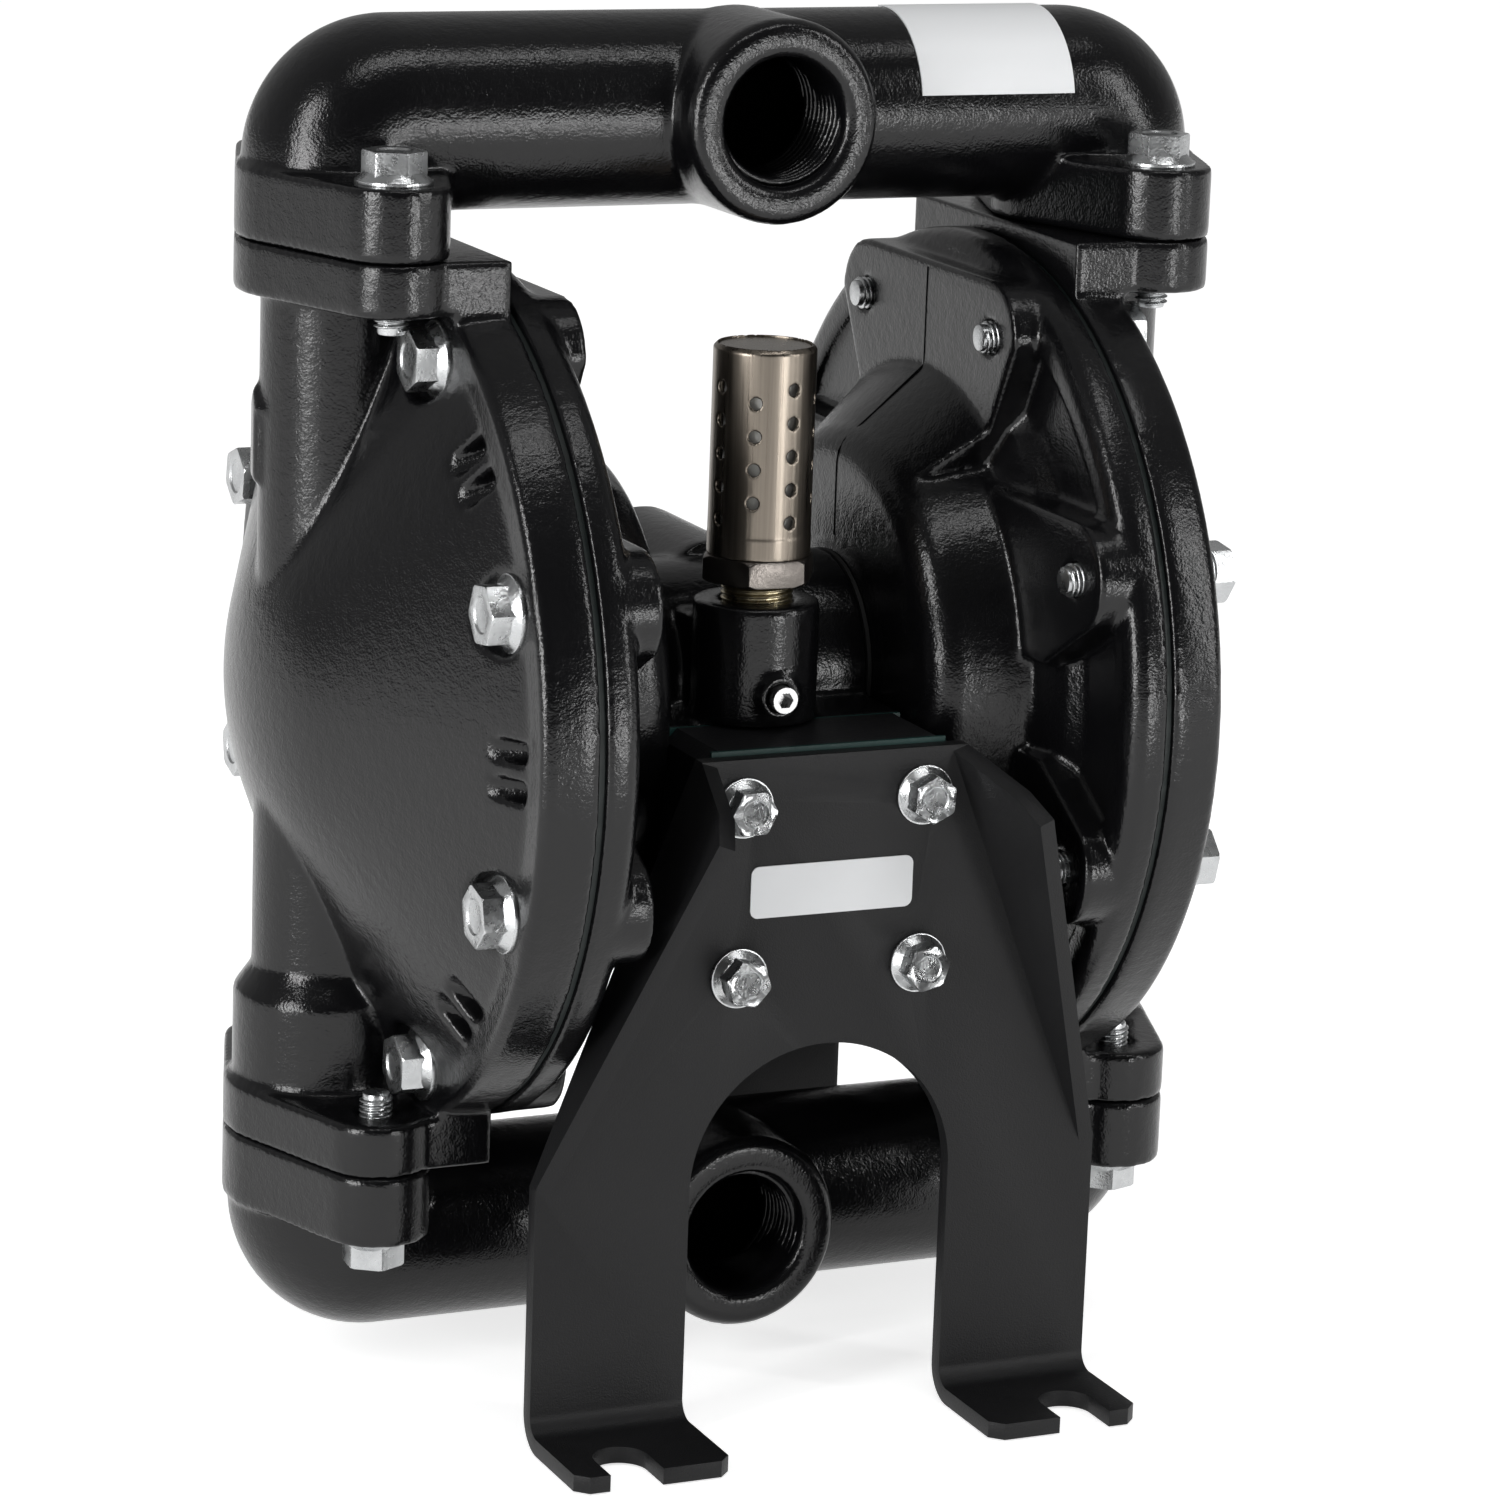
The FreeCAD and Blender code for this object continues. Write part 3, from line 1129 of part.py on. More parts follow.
def centre_housing():
    """Barrel round the shaft, block below it, exhaust boss in front and air inlet boss behind."""
    barrel = cylinder("barrel", s.barrel_radius, 2 * s.barrel_x, (-s.barrel_x, 0, s.axis_height), "X")
    valve_back = s.bracket_face - s.plate_gauge - 2 * s.gasket_thick - s.valve_depth
    block = box("block", (-s.block_half, -valve_back, BLOCK_BOTTOM),
                (s.block_half, s.bracket_face - s.plate_gauge, BLOCK_TOP))
    boss_low = BLOCK_TOP + s.boss_step
    boss = cylinder("exhaust_boss", s.muffler_boss, MUFFLER_BOSS_TOP - boss_low,
                    (s.muffler_x, s.muffler_y, boss_low))
    boss_half = s.muffler_boss - s.boss_neck
    boss_root = box("exhaust_root", (s.muffler_x - boss_half, s.muffler_y, BLOCK_TOP - s.boss_sink),
                    (s.muffler_x + boss_half, 0, MUFFLER_BOSS_TOP - s.boss_sink))
    boss_foot = box("exhaust_foot", (s.muffler_x - s.muffler_boss, -valve_back, BLOCK_TOP - s.boss_step),
                    (s.muffler_x + s.muffler_boss, 0, BLOCK_TOP + 2 * s.boss_step))
    plug_boss = cylinder("plug_boss", s.plug_radius + s.plug_wall, s.muffler_boss,
                         (s.muffler_x, PLUG_FACE, PLUG_HEIGHT), "Y")
    inlet = cylinder("air_inlet_boss", s.inlet_boss, s.inlet_face, (0, 0, INLET_HEIGHT), "Y")
    outside = fuse("housing_outside", barrel, block, boss, boss_root, boss_foot, plug_boss, inlet)

    through = 2 * s.barrel_x + 2 * PAST
    bore = cylinder("housing_bore", s.shaft_radius + s.shaft_play, through,
                    (-s.barrel_x - PAST, 0, s.axis_height), "X")
    pocket_length = s.bush_length + s.seal_length
    pocket = cylinder("bush_pocket", s.shaft_radius + s.bush_wall + s.fit_gap, pocket_length + PAST,
                      (s.barrel_x - pocket_length, 0, s.axis_height), "X")
    pilot = cylinder("pilot_bore", s.pilot_radius + s.running_gap, through,
                     (-s.barrel_x - PAST, 0, s.axis_height - s.pilot_drop), "X")
    port_length = s.barrel_x - s.air_way_x + s.drill_end
    port = cylinder("cover_port", s.air_way, port_length + PAST,
                    (s.barrel_x - port_length, -s.air_way_y, s.axis_height), "X")
    port_drop = cylinder("cover_port_drop", s.drop_way, s.axis_height - SPOOL_HEIGHT,
                         (s.air_way_x, -s.air_way_y, SPOOL_HEIGHT))
    port_turn = cylinder("cover_port_turn", s.air_way, valve_back - s.air_way_y + s.drill_end + PAST,
                         (s.air_way_x, -valve_back - PAST, SPOOL_HEIGHT), "Y")
    exhaust = cylinder("exhaust_thread", s.exhaust_bore, s.exhaust_depth + PAST,
                       (s.muffler_x, s.muffler_y, MUFFLER_BOSS_TOP - s.exhaust_depth))
    exhaust_way = cylinder("exhaust_way", s.drop_way, MUFFLER_BOSS_TOP - SPOOL_HEIGHT,
                           (s.muffler_x, s.muffler_y, SPOOL_HEIGHT))
    exhaust_turn = cylinder("exhaust_turn", s.air_way, valve_back + s.muffler_y + s.drill_end + PAST,
                            (s.muffler_x, -valve_back - PAST, SPOOL_HEIGHT), "Y")
    plug_hole = cylinder("plug_hole", s.plug_radius + s.running_gap, s.plug_depth + 2 * PAST,
                         (s.muffler_x, PLUG_FACE - PAST, PLUG_HEIGHT), "Y")
    inlet_thread = cylinder("air_inlet_thread", s.inlet_bore, s.inlet_depth + PAST,
                            (0, s.inlet_face - s.inlet_depth, INLET_HEIGHT), "Y")
    supply_drop = cylinder("supply_drop", s.drop_way, INLET_HEIGHT - SPOOL_HEIGHT,
                           (s.supply_x, s.supply_y, SPOOL_HEIGHT))
    supply_turn = cylinder("supply_turn", s.air_way, valve_back + s.supply_y + s.drill_end + PAST,
                           (s.supply_x, -valve_back - PAST, SPOOL_HEIGHT), "Y")
    gasket_seat = cylinder("gasket_seat", s.barrel_radius + s.fit_gap, 2 * s.gasket_thick,
                           (s.barrel_x, 0, s.axis_height), "X")
    screws = screw_ring("housing_screw_holes", s.cap_screw + s.running_gap,
                        s.barrel_x - s.screw_depth, s.barrel_x + PAST)
    sides = fuse("housing_side_tools", pocket, port, port_drop, port_turn, gasket_seat, screws)
    taps = []
    for name, low in (("front", -valve_back - PAST), ("rear", s.bracket_face - s.plate_gauge - s.tap_depth)):
        taps.append(bracket_holes(f"housing_{name}_taps", s.small_tap, low, low + s.tap_depth + PAST))
    other_sides = mirror("housing_left_tools", sides, (1, 0, 0))
    return cut("housing_shape", outside, bore, pilot, exhaust, exhaust_way, exhaust_turn, plug_hole,
               inlet_thread, supply_drop, supply_turn, sides, other_sides, *taps)


def bracket_holes(name, radius, low, high):
    """Cylinders along Y where the four bracket bolts go."""
    holes = []
    for height in (BOLT_UPPER, BOLT_LOWER):
        right = cylinder(f"{name}_right", radius, as_size(high) - low, (s.bolt_col, low, height), "Y")
        holes.extend([right, mirror(f"{name}_left", right, (1, 0, 0))])
    return group(name, *holes)


def valve_ways(name, length):
    """Passages from the spool back to the housing: two to the chambers, one in, one out."""
    ways = []
    for number, place_x in enumerate((-s.air_way_x, s.muffler_x, s.supply_x, s.air_way_x)):
        ways.append(cylinder(f"{name}_{number}", s.air_way, length, (place_x, -s.spool_y, SPOOL_HEIGHT), "Y"))
    return group(name, *ways)


def valve():
    """Valve body with its gaskets, sleeve, spool and end caps."""
    plate_back = s.bracket_face - s.plate_gauge
    front = plate_back - s.gasket_thick
    back = front - s.valve_depth
    block = prism("valve_block", [
        (-s.block_half, BLOCK_BOTTOM),
        (s.block_half, BLOCK_BOTTOM),
        (s.block_half, BLOCK_TOP - s.valve_bevel),
        (s.block_half - s.valve_bevel, BLOCK_TOP),
        (s.valve_bevel - s.block_half, BLOCK_TOP),
        (-s.block_half, BLOCK_TOP - s.valve_bevel),
    ], s.valve_depth, (0, -back, 0), UPRIGHT)
    hole_low, hole_high = -front - PAST, -back + PAST
    bore = cylinder("sleeve_bore", s.sleeve_radius + s.fit_gap, 2 * s.block_half + 2 * PAST,
                    (-s.block_half - PAST, -s.spool_y, SPOOL_HEIGHT), "X")
    ways = valve_ways("valve_ways", s.spool_y - back + PAST)
    holes = bracket_holes("valve_holes", s.small_hole, hole_low, hole_high)
    node(cut("valve_shape", block, bore, ways, holes), "valve_body")
    for name, face in (("front", front), ("rear", back - s.gasket_thick)):
        half = s.block_half - s.gasket_inset
        sheet_box = box(f"{name}_gasket_sheet", (-half, -face - s.gasket_thick, BLOCK_BOTTOM),
                        (half, -face, BLOCK_TOP))
        rise = s.air_way + s.gasket_inset
        low, high = -face - s.gasket_thick - PAST, PAST - face
        window = box(f"{name}_gasket_window", (-s.air_way_x - rise, low, SPOOL_HEIGHT - rise),
                     (s.air_way_x + rise, high, SPOOL_HEIGHT + rise))
        gasket_holes = bracket_holes(f"{name}_gasket_holes", s.small_hole, low, high)
        node(cut(f"{name}_gasket_shape", sheet_box, window, gasket_holes), f"valve_{name}_gasket")
    inside = s.block_half - s.end_cap
    at = (0, -s.spool_y, SPOOL_HEIGHT)
    sleeve = ring("valve_sleeve_tube", s.sleeve_radius, s.spool_radius + s.running_gap, -inside, inside, at)
    node(cut("valve_sleeve_shape", sleeve, valve_ways("sleeve_ways", s.sleeve_radius + PAST)), "valve_sleeve")
    cap = cylinder("end_cap_right", s.sleeve_radius, s.end_cap, (inside, -s.spool_y, SPOOL_HEIGHT), "X")
    node(group("end_cap_pair", cap, mirror("end_cap_left", cap, (1, 0, 0))), "valve_end_caps")
    half = inside - s.spool_travel - s.contact_gap
    waist = s.spool_radius - s.groove_depth
    node(turned("spool_shape", [
        (-half, 0),
        (-half, s.spool_radius),
        (-half * s.waist_high, s.spool_radius),
        (-half * s.waist_high, waist),
        (-half * s.waist_low, waist),
        (-half * s.waist_low, s.spool_radius),
        (half * s.waist_low, s.spool_radius),
        (half * s.waist_low, waist),
        (half * s.waist_high, waist),
        (half * s.waist_high, s.spool_radius),
        (half, s.spool_radius),
        (half, 0),
    ], "X", at), "valve_spool")


def muffler():
    """Exhaust muffler: threaded fitting with a hexagon, perforated tube, core and end disc."""
    at = (s.muffler_x, s.muffler_y, 0)
    nut_top = NUT_LOW + s.nut_height
    corner = s.nut_flats / math.sqrt(3)
    foot = (s.muffler_x, s.muffler_y, NUT_LOW)
    blank = hexagon("muffler_hexagon", s.nut_flats, s.nut_height, foot)
    place(blank, foot, Rotation(Vector(0, 0, 1), s.nut_turn.value))
    chamfer = turned("muffler_chamfer", [
        (NUT_LOW, 0),
        (NUT_LOW, s.nut_flats / 2 * s.nut_face),
        (NUT_LOW + s.nut_chamfer, corner + s.corner_play),
        (nut_top - s.nut_chamfer, corner + s.corner_play),
        (nut_top, s.nut_flats / 2 * s.nut_face),
        (nut_top, 0),
    ], "Z", at)
    nut = common("muffler_nut", blank, chamfer)
    inside = s.muffler_radius - s.muffler_wall
    neck_low = MUFFLER_BOSS_TOP - s.exhaust_depth + s.neck_end
    neck_top = nut_top + s.neck_sleeve
    neck = turned("muffler_neck", [
        (neck_low, 0),
        (neck_low, s.muffler_neck),
        (NUT_LOW + s.nut_chamfer, s.muffler_neck),
        (NUT_LOW + s.nut_chamfer, inside - s.fit_gap),
        (neck_top, inside - s.fit_gap),
        (neck_top, 0),
    ], "Z", at)
    way = cylinder("muffler_way", s.air_way, neck_top - neck_low + 2 * PAST,
                   (s.muffler_x, s.muffler_y, neck_low - PAST))
    node(cut("fitting_shape", fuse("fitting_solid", nut, neck), way), "muffler_fitting")
    tube = turned("muffler_tube", [
        (nut_top, inside),
        (nut_top, s.muffler_radius + s.muffler_step),
        (nut_top + s.muffler_sleeve, s.muffler_radius + s.muffler_step),
        (nut_top + s.muffler_sleeve + s.muffler_step, s.muffler_radius),
        (MUFFLER_TOP - s.tube_edge, s.muffler_radius),
        (MUFFLER_TOP, s.muffler_radius - s.tube_edge),
        (MUFFLER_TOP, inside),
    ], "Z", at)
    vents = []
    for number in range(4):
        rows = 5 if number % 2 == 0 else 4
        shift = as_size(0) if number % 2 == 0 else s.vent_shift
        turn = Rotation(Vector(0, 0, 1), 45 * number + s.vent_turn.value)
        for row in range(rows):
            height = MUFFLER_TOP - s.vent_pitch * (s.vent_first + row + shift)
            vent = cylinder("vent", s.vent_radius, 2 * s.muffler_radius + 2 * PAST, (0, 0, 0), "X")
            reach = turn.multVec(Vector(-s.muffler_radius.value - PAST, 0, 0))
            place(vent, (s.muffler_x + reach.x, s.muffler_y + reach.y, height), turn.multiply(ALONG_X))
            vents.append(vent)
    node(cut("muffler_tube_shape", tube, *vents), "muffler_body")
    disc_low = MUFFLER_TOP - s.disc_depth
    disc = cylinder("end_disc_shape", inside - s.fit_gap, s.disc_thick, (s.muffler_x, s.muffler_y, disc_low))
    node(disc, "muffler_end_disc")
    core = inside - s.core_gap
    node(ring("core_shape", core, core - s.core_wall, neck_top, disc_low, at, "Z"), "muffler_core")
    plug = cylinder("plug_body", s.plug_radius, s.plug_depth + s.plug_stand,
                    (s.muffler_x, PLUG_FACE - s.plug_stand, PLUG_HEIGHT), "Y")
    socket = hexagon("plug_socket", s.plug_socket, s.plug_recess + PAST,
                     (s.muffler_x, PLUG_FACE - s.plug_stand - PAST, PLUG_HEIGHT), "Y")
    node(cut("plug_shape", plug, socket), "boss_plug")


def bracket():
    """Front bracket: plate with an arch, two feet with open slots, and a bent flange on each side."""
    body = new_body("bracket_body")
    back = s.bracket_face - s.plate_gauge
    plate_sketch = body_sketch(body, "bracket_outline", "XZ_Plane", back)
    outline(plate_sketch, [
        (-s.bracket_half, 0),
        (-s.arch_radius, 0),
        (-s.arch_radius, s.arch_height),
        Arc((0, s.arch_height + s.arch_radius), s.arch_radius, LEFT),
        Arc((s.arch_radius, s.arch_height), s.arch_radius, LEFT),
        (s.arch_radius, 0),
        (s.bracket_half, 0),
        (s.bracket_half, s.bracket_knee),
        (s.bracket_top_half, BRACKET_TOP),
        (-s.bracket_top_half, BRACKET_TOP),
        (-s.bracket_half, s.bracket_knee),
    ])
    feature(body, "Pad", "bracket_plate", plate_sketch, s.plate_gauge)
    doc.recompute()
    hole_sketch = body_sketch(body, "bracket_hole_circles", "XZ_Plane", s.bracket_face)
    for side in (LEFT, RIGHT):
        for height in (BOLT_UPPER, BOLT_LOWER):
            circle(hole_sketch, s.bolt_col * side, height, s.small_hole)
    feature(body, "Pocket", "bracket_holes", hole_sketch, s.plate_gauge + PAST)
    doc.recompute()
    foot_sketch = body_sketch(body, "foot_outline", "XY_Plane")
    nip = s.foot_nip
    for side in (LEFT, RIGHT):
        corners = [
            (s.arch_radius * side, -back),
            (s.arch_radius * side, nip - s.foot_reach),
            ((s.arch_radius + nip) * side, -s.foot_reach),
            ((s.slot_x - s.slot_radius) * side, -s.foot_reach),
            ((s.slot_x - s.slot_radius) * side, s.slot_depth - s.foot_reach),
            Arc((s.slot_x * side, s.slot_depth - s.foot_reach + s.slot_radius), s.slot_radius, -side),
            Arc(((s.slot_x + s.slot_radius) * side, s.slot_depth - s.foot_reach), s.slot_radius, -side),
            ((s.slot_x + s.slot_radius) * side, -s.foot_reach),
            ((s.bracket_half - nip) * side, -s.foot_reach),
            (s.bracket_half * side, nip - s.foot_reach),
            (s.bracket_half * side, -back),
        ]
        outline(foot_sketch, corners)
    feature(body, "Pad", "feet", foot_sketch, s.plate_gauge)
    doc.recompute()
    inner = s.foot_bend
    fillets = []
    for side in (LEFT, RIGHT):
        high_x = s.bracket_half if side == RIGHT else -s.arch_radius
        strip = prism("foot_bend_fill", [
            (0, 0),
            (inner, 0),
            Arc((0, inner), inner, LEFT),
        ], s.bracket_half - s.arch_radius, (high_x, -s.bracket_face, s.plate_gauge), FORWARD)
        fillets.append(strip)
    flange = side_flange()
    other_flange = mirror("side_flange_left", flange, (1, 0, 0))
    whole = fuse("front_bracket_square", body, *fillets, flange, other_flange)
    outer = s.foot_bend + s.plate_gauge
    heel = prism("heel_round", [
        (0, 0),
        (outer, 0),
        Arc((0, outer), outer, LEFT),
    ], 2 * s.bracket_half + 2 * PAST, (s.bracket_half + PAST, -back, 0), FORWARD)
    return cut("bracket_shape", whole, heel)


FORWARD = Rotation(Vector(0, -1, 0), Vector(0, 0, 1), Vector(-1, 0, 0), "ZXY")


def side_flange():
    """The flange along the right edge of the bracket, bent forward and a little outward."""
    across = s.bracket_half - s.bracket_top_half
    rise = BRACKET_TOP - s.bracket_knee
    length = (across * across + rise * rise).root()
    up = Vector(-across.value, 0, rise.value).normalize()
    outward = Vector(up.z, 0, -up.x)
    forward = (outward * s.rib_flare.value - Vector(0, s.rib_reach.value, 0)).normalize()
    turn = Rotation(up, forward, up.cross(forward), "ZXY")
    deep = length * s.rib_deepest
    reach = s.rib_reach
    corner = s.rib_corner
    inset_x, inset_z = s.plate_gauge * up.z, s.plate_gauge * up.x
    return prism("side_flange", [
        (0, 0),
        (0, -s.rib_root),
        (length, -s.rib_root),
        (length, 0),
        (length - corner, reach - corner * s.rib_slant),
        (deep, reach),
    ], s.plate_gauge, (s.bracket_half - inset_x, -s.bracket_face, s.bracket_knee + inset_z), turn)


def labels():
    """Bare plate on the front bracket and bare tag on the outlet manifold."""
    corner = s.label_corner
    half_w = s.label_width / 2
    half_h = s.label_height / 2
    plate = prism("label_shape", [
        Arc((corner - half_w, -half_h), corner),
        (half_w - corner, -half_h),
        Arc((half_w, corner - half_h), corner),
        (half_w, half_h - corner),
        Arc((half_w - corner, half_h), corner),
        (corner - half_w, half_h),
        Arc((-half_w, half_h - corner), corner),
        (-half_w, corner - half_h),
    ], s.label_thick, (0, -s.bracket_face, LABEL_Z), UPRIGHT)
    node(plate, "bracket_label")
    start = math.radians(s.tag_start.value)
    first = Vector(0, -math.cos(start), math.sin(start))
    second = Vector(0, math.sin(start), math.cos(start))
    turn = Rotation(first, second, Vector(-1, 0, 0), "ZXY")
    wedges = []
    for name, rise, extra in (("tag_outer", s.label_thick, 0), ("tag_inner", s.tag_gap, PAST)):
        wedge = cylinder(name, s.tube_radius + rise, s.tag_width + 2 * extra, (0, 0, 0))
        wedge.Angle = s.tag_sweep.value if extra == 0 else 360
        place(wedge, (s.tag_left + s.tag_width + extra, 0, TUBE_TOP), turn)
        wedges.append(wedge)
    node(cut("tag_shape", wedges[0], wedges[1]), "manifold_tag")


def both_sides(obj, label):
    """Name a piece of the right side, and its mirror image on the left."""
    node(obj, f"right_{label}")
    node(mirror(f"{label}_on_the_left", obj, (1, 0, 0)), f"left_{label}")


def shaft_bearings():
    """Bushes and seals of the shaft in the centre housing."""
    outer = s.shaft_radius + s.bush_wall
    inner = s.shaft_radius + s.running_gap
    bush_low = s.barrel_x - s.bush_length - s.seal_length
    bush = ring("bush", outer, inner, bush_low, bush_low + s.bush_length, AXIS)
    seal = ring("seal", outer, inner, s.barrel_x - s.seal_length, s.barrel_x, AXIS)
    node(group("bush_pair", bush, mirror("bush_left", bush, (1, 0, 0))), "shaft_bushes")
    node(group("seal_pair", seal, mirror("seal_left", seal, (1, 0, 0))), "shaft_seals")


def air_gasket():
    """Right gasket between the air cover and the housing."""
    disc = ring("gasket_disc", s.barrel_radius, s.shaft_radius + s.shaft_play,
                s.barrel_x, s.barrel_x + s.gasket_thick, AXIS)
    low = s.barrel_x - PAST
    through = s.gasket_thick + 2 * PAST
    pilot = cylinder("gasket_pilot_hole", s.pilot_radius + s.fit_gap, through,
                     (low, 0, s.axis_height - s.pilot_drop), "X")
    way = cylinder("gasket_air_hole", s.air_way, through, (low, -s.air_way_y, s.axis_height), "X")
    screws = screw_ring("gasket_screw_holes", s.cap_screw + s.fit_gap, low, low + through)
    return cut("gasket_shape", disc, pilot, way, screws)


def pilot_rod():
    half = AIR_FACE - s.plate_thick - s.stroke + s.pilot_travel - s.contact_gap
    return cylinder("pilot_shape", s.pilot_radius, 2 * half, (-half, 0, s.axis_height - s.pilot_drop), "X")


both_sides(fluid_cover(), "fluid_cover")
both_sides(air_cover(), "air_cover")
both_sides(diaphragm(), "diaphragm")
both_sides(air_gasket(), "air_gasket")
both_sides(cap_screws(), "air_cover_screws")
both_sides(cover_bolts(), "cover_bolts")
for piece, label in zip(plates(), ("air_plate", "fluid_plate", "shaft_screw")):
    both_sides(piece, label)
node(shaft(), "diaphragm_shaft")
node(pilot_rod(), "pilot_rod")
shaft_bearings()
check_valves()
for piece, label in zip(manifolds(), ("outlet_manifold", "inlet_manifold")):
    node(piece, label)
for piece, label in zip(manifold_bolts(), ("outlet_manifold_bolts", "inlet_manifold_bolts")):
    node(piece, label)
node(centre_housing(), "center_housing")
valve()
muffler()
front = node(bracket(), "front_bracket")
node(mirror("bracket_behind", front, (0, 1, 0)), "rear_bracket")
for piece, label in zip(bracket_bolts(), ("rear_bracket_bolts", "front_bracket_bolts")):
    node(piece, label)
labels()
doc.recompute()

faults = [f"{obj.Name}: {obj.State}" for obj in doc.Objects if "Invalid" in obj.State or "Error" in obj.State]
for piece in NODES:
    if piece.Shape.isNull() or not piece.Shape.isValid() or not piece.Shape.Solids:
        faults.append(f"{piece.Label}: no valid solid")
if faults:
    raise RuntimeError("; ".join(faults))
os.makedirs("parts", exist_ok=True)
for piece in NODES:
    piece.Shape.exportStep(f"parts/{piece.Label}.step")
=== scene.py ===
import json
import math

import bpy
from mathutils import Matrix, Vector


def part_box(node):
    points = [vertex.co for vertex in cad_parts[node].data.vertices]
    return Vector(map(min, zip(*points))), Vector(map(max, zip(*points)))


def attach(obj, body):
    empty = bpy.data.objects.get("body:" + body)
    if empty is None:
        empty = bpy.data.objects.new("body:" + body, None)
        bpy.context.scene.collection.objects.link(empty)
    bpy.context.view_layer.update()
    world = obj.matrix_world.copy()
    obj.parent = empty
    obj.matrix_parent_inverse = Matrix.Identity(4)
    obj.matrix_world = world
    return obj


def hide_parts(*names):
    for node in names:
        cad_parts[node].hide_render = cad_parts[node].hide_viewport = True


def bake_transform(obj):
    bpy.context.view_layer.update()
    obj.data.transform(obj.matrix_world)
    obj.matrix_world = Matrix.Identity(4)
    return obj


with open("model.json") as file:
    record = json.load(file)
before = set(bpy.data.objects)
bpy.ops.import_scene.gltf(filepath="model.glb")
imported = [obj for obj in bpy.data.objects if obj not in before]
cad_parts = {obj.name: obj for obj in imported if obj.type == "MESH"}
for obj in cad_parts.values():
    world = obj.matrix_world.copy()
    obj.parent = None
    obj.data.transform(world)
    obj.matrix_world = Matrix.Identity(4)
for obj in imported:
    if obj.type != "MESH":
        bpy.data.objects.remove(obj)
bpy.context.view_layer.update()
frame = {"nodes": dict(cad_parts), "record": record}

# The camera looks at the pump from the photograph's side, a little left of the front and above.
# It is a long lens, held slightly turned.
image_pixels, focal_pixels, sensor_width = 1500, 5448.17, 36
azimuth, elevation, roll = math.radians(-24.6), math.radians(13.61), math.radians(2.05)
distance = 1.33745
target = Vector((0.01158, 0.0, 0.14545))
back = Vector((math.sin(azimuth) * math.cos(elevation), -math.cos(azimuth) * math.cos(elevation),
               math.sin(elevation)))
level = (-back).cross(Vector((0, 0, 1))).normalized()
upright = level.cross(-back)
right = level * math.cos(roll) + upright * math.sin(roll)
above = upright * math.cos(roll) - level * math.sin(roll)
camera_data = bpy.data.cameras.new("photo_camera")
camera_data.sensor_width = sensor_width
camera_data.lens = focal_pixels * sensor_width / image_pixels
camera = bpy.data.objects.new("photo_camera", camera_data)
camera.matrix_world = Matrix((right, above, back)).transposed().to_4x4()
camera.location = target + back * distance
bpy.context.collection.objects.link(camera)
bpy.context.scene.camera = camera
bpy.context.scene.view_settings.view_transform = "Standard"

# The studio: a white floor that runs past the picture, and soft boxes left, right and above, with two small
# ones low at the left and low in front. Gloss shows the pale floor behind and a darker room in front.
floor_width, floor_drop, floor_white = 40, 0.0005, (0.80, 0.80, 0.80, 1)
floor_glow_seen, floor_glow_mirrored = 0.68, 0.55
room_light = 0.42
room_gloss_middle, room_gloss_slope = 0.19, 0.17
pump_middle, left_dome, left_rim = (0, 0, 0.17), (-0.09, -0.07, 0.18), (-0.05, -0.1, 0.17)


class Socket:
    """A shader socket with plain arithmetic: an expression on it adds the Math nodes."""

    def __init__(self, tree, output=None):
        self.tree = tree
        self.output = output

    def node(self, kind, output=0, settings=None, **values):
        """An output of any other node. Its settings go first, then the values or links of its sockets."""
        new = self.tree.nodes.new(kind)
        for name, value in (settings or {}).items():
            setattr(new, name, value)
        for name, value in values.items():
            numbered = name[0] == "n" and name[1:].isdigit()
            socket = new.inputs[int(name[1:]) if numbered else name.replace("_", " ")]
            if isinstance(value, Socket):
                self.tree.links.new(value.output, socket)
            else:
                socket.default_value = value
        return Socket(self.tree, new.outputs[output])

    def maths(self, operation, other):
        return self.node("ShaderNodeMath", settings={"operation": operation}, n0=self, n1=other)

    def __add__(self, other):
        return self.maths("ADD", other)

    __radd__ = __add__

    def __mul__(self, other):
        return self.maths("MULTIPLY", other)

    __rmul__ = __mul__

    def __sub__(self, other):
        return self.maths("SUBTRACT", other)

    def __rsub__(self, other):
        return (self * -1.0) + other

    def mix(self, low, high):
        """Colour from low to high as this value goes from 0 to 1."""
        return self.node("ShaderNodeMix", 2, {"data_type": "RGBA"}, n0=self, n6=(*low, 1), n7=(*high, 1))


def material(name, **constants):
    """A Principled material with these constant sockets, its shader and its Object coordinates."""
    new = bpy.data.materials.new(name)
    new.use_nodes = True
    tree = new.node_tree
    shader = tree.nodes["Principled BSDF"]
    for key, value in constants.items():
        shader.inputs[key.replace("_", " ")].default_value = value
    return new, shader, Socket(tree).node("ShaderNodeTexCoord", "Object")


def feed(shader, name, value):
    """Link a value to one of a shader's sockets."""
    value.tree.links.new(value.output, shader.inputs[name])


def soft_box(name, place, aim, size, watts):
    """A flat lamp at this place, turned to the point that it aims at."""
    lamp_data = bpy.data.lights.new(name, "AREA")
    lamp_data.shape = "RECTANGLE"
    lamp_data.size, lamp_data.size_y = size
    lamp_data.energy = watts
    lamp = bpy.data.objects.new(name, lamp_data)
    lamp.location = place
    lamp.rotation_euler = (Vector(aim) - Vector(place)).to_track_quat("-Z", "Y").to_euler()
    bpy.context.collection.objects.link(lamp)


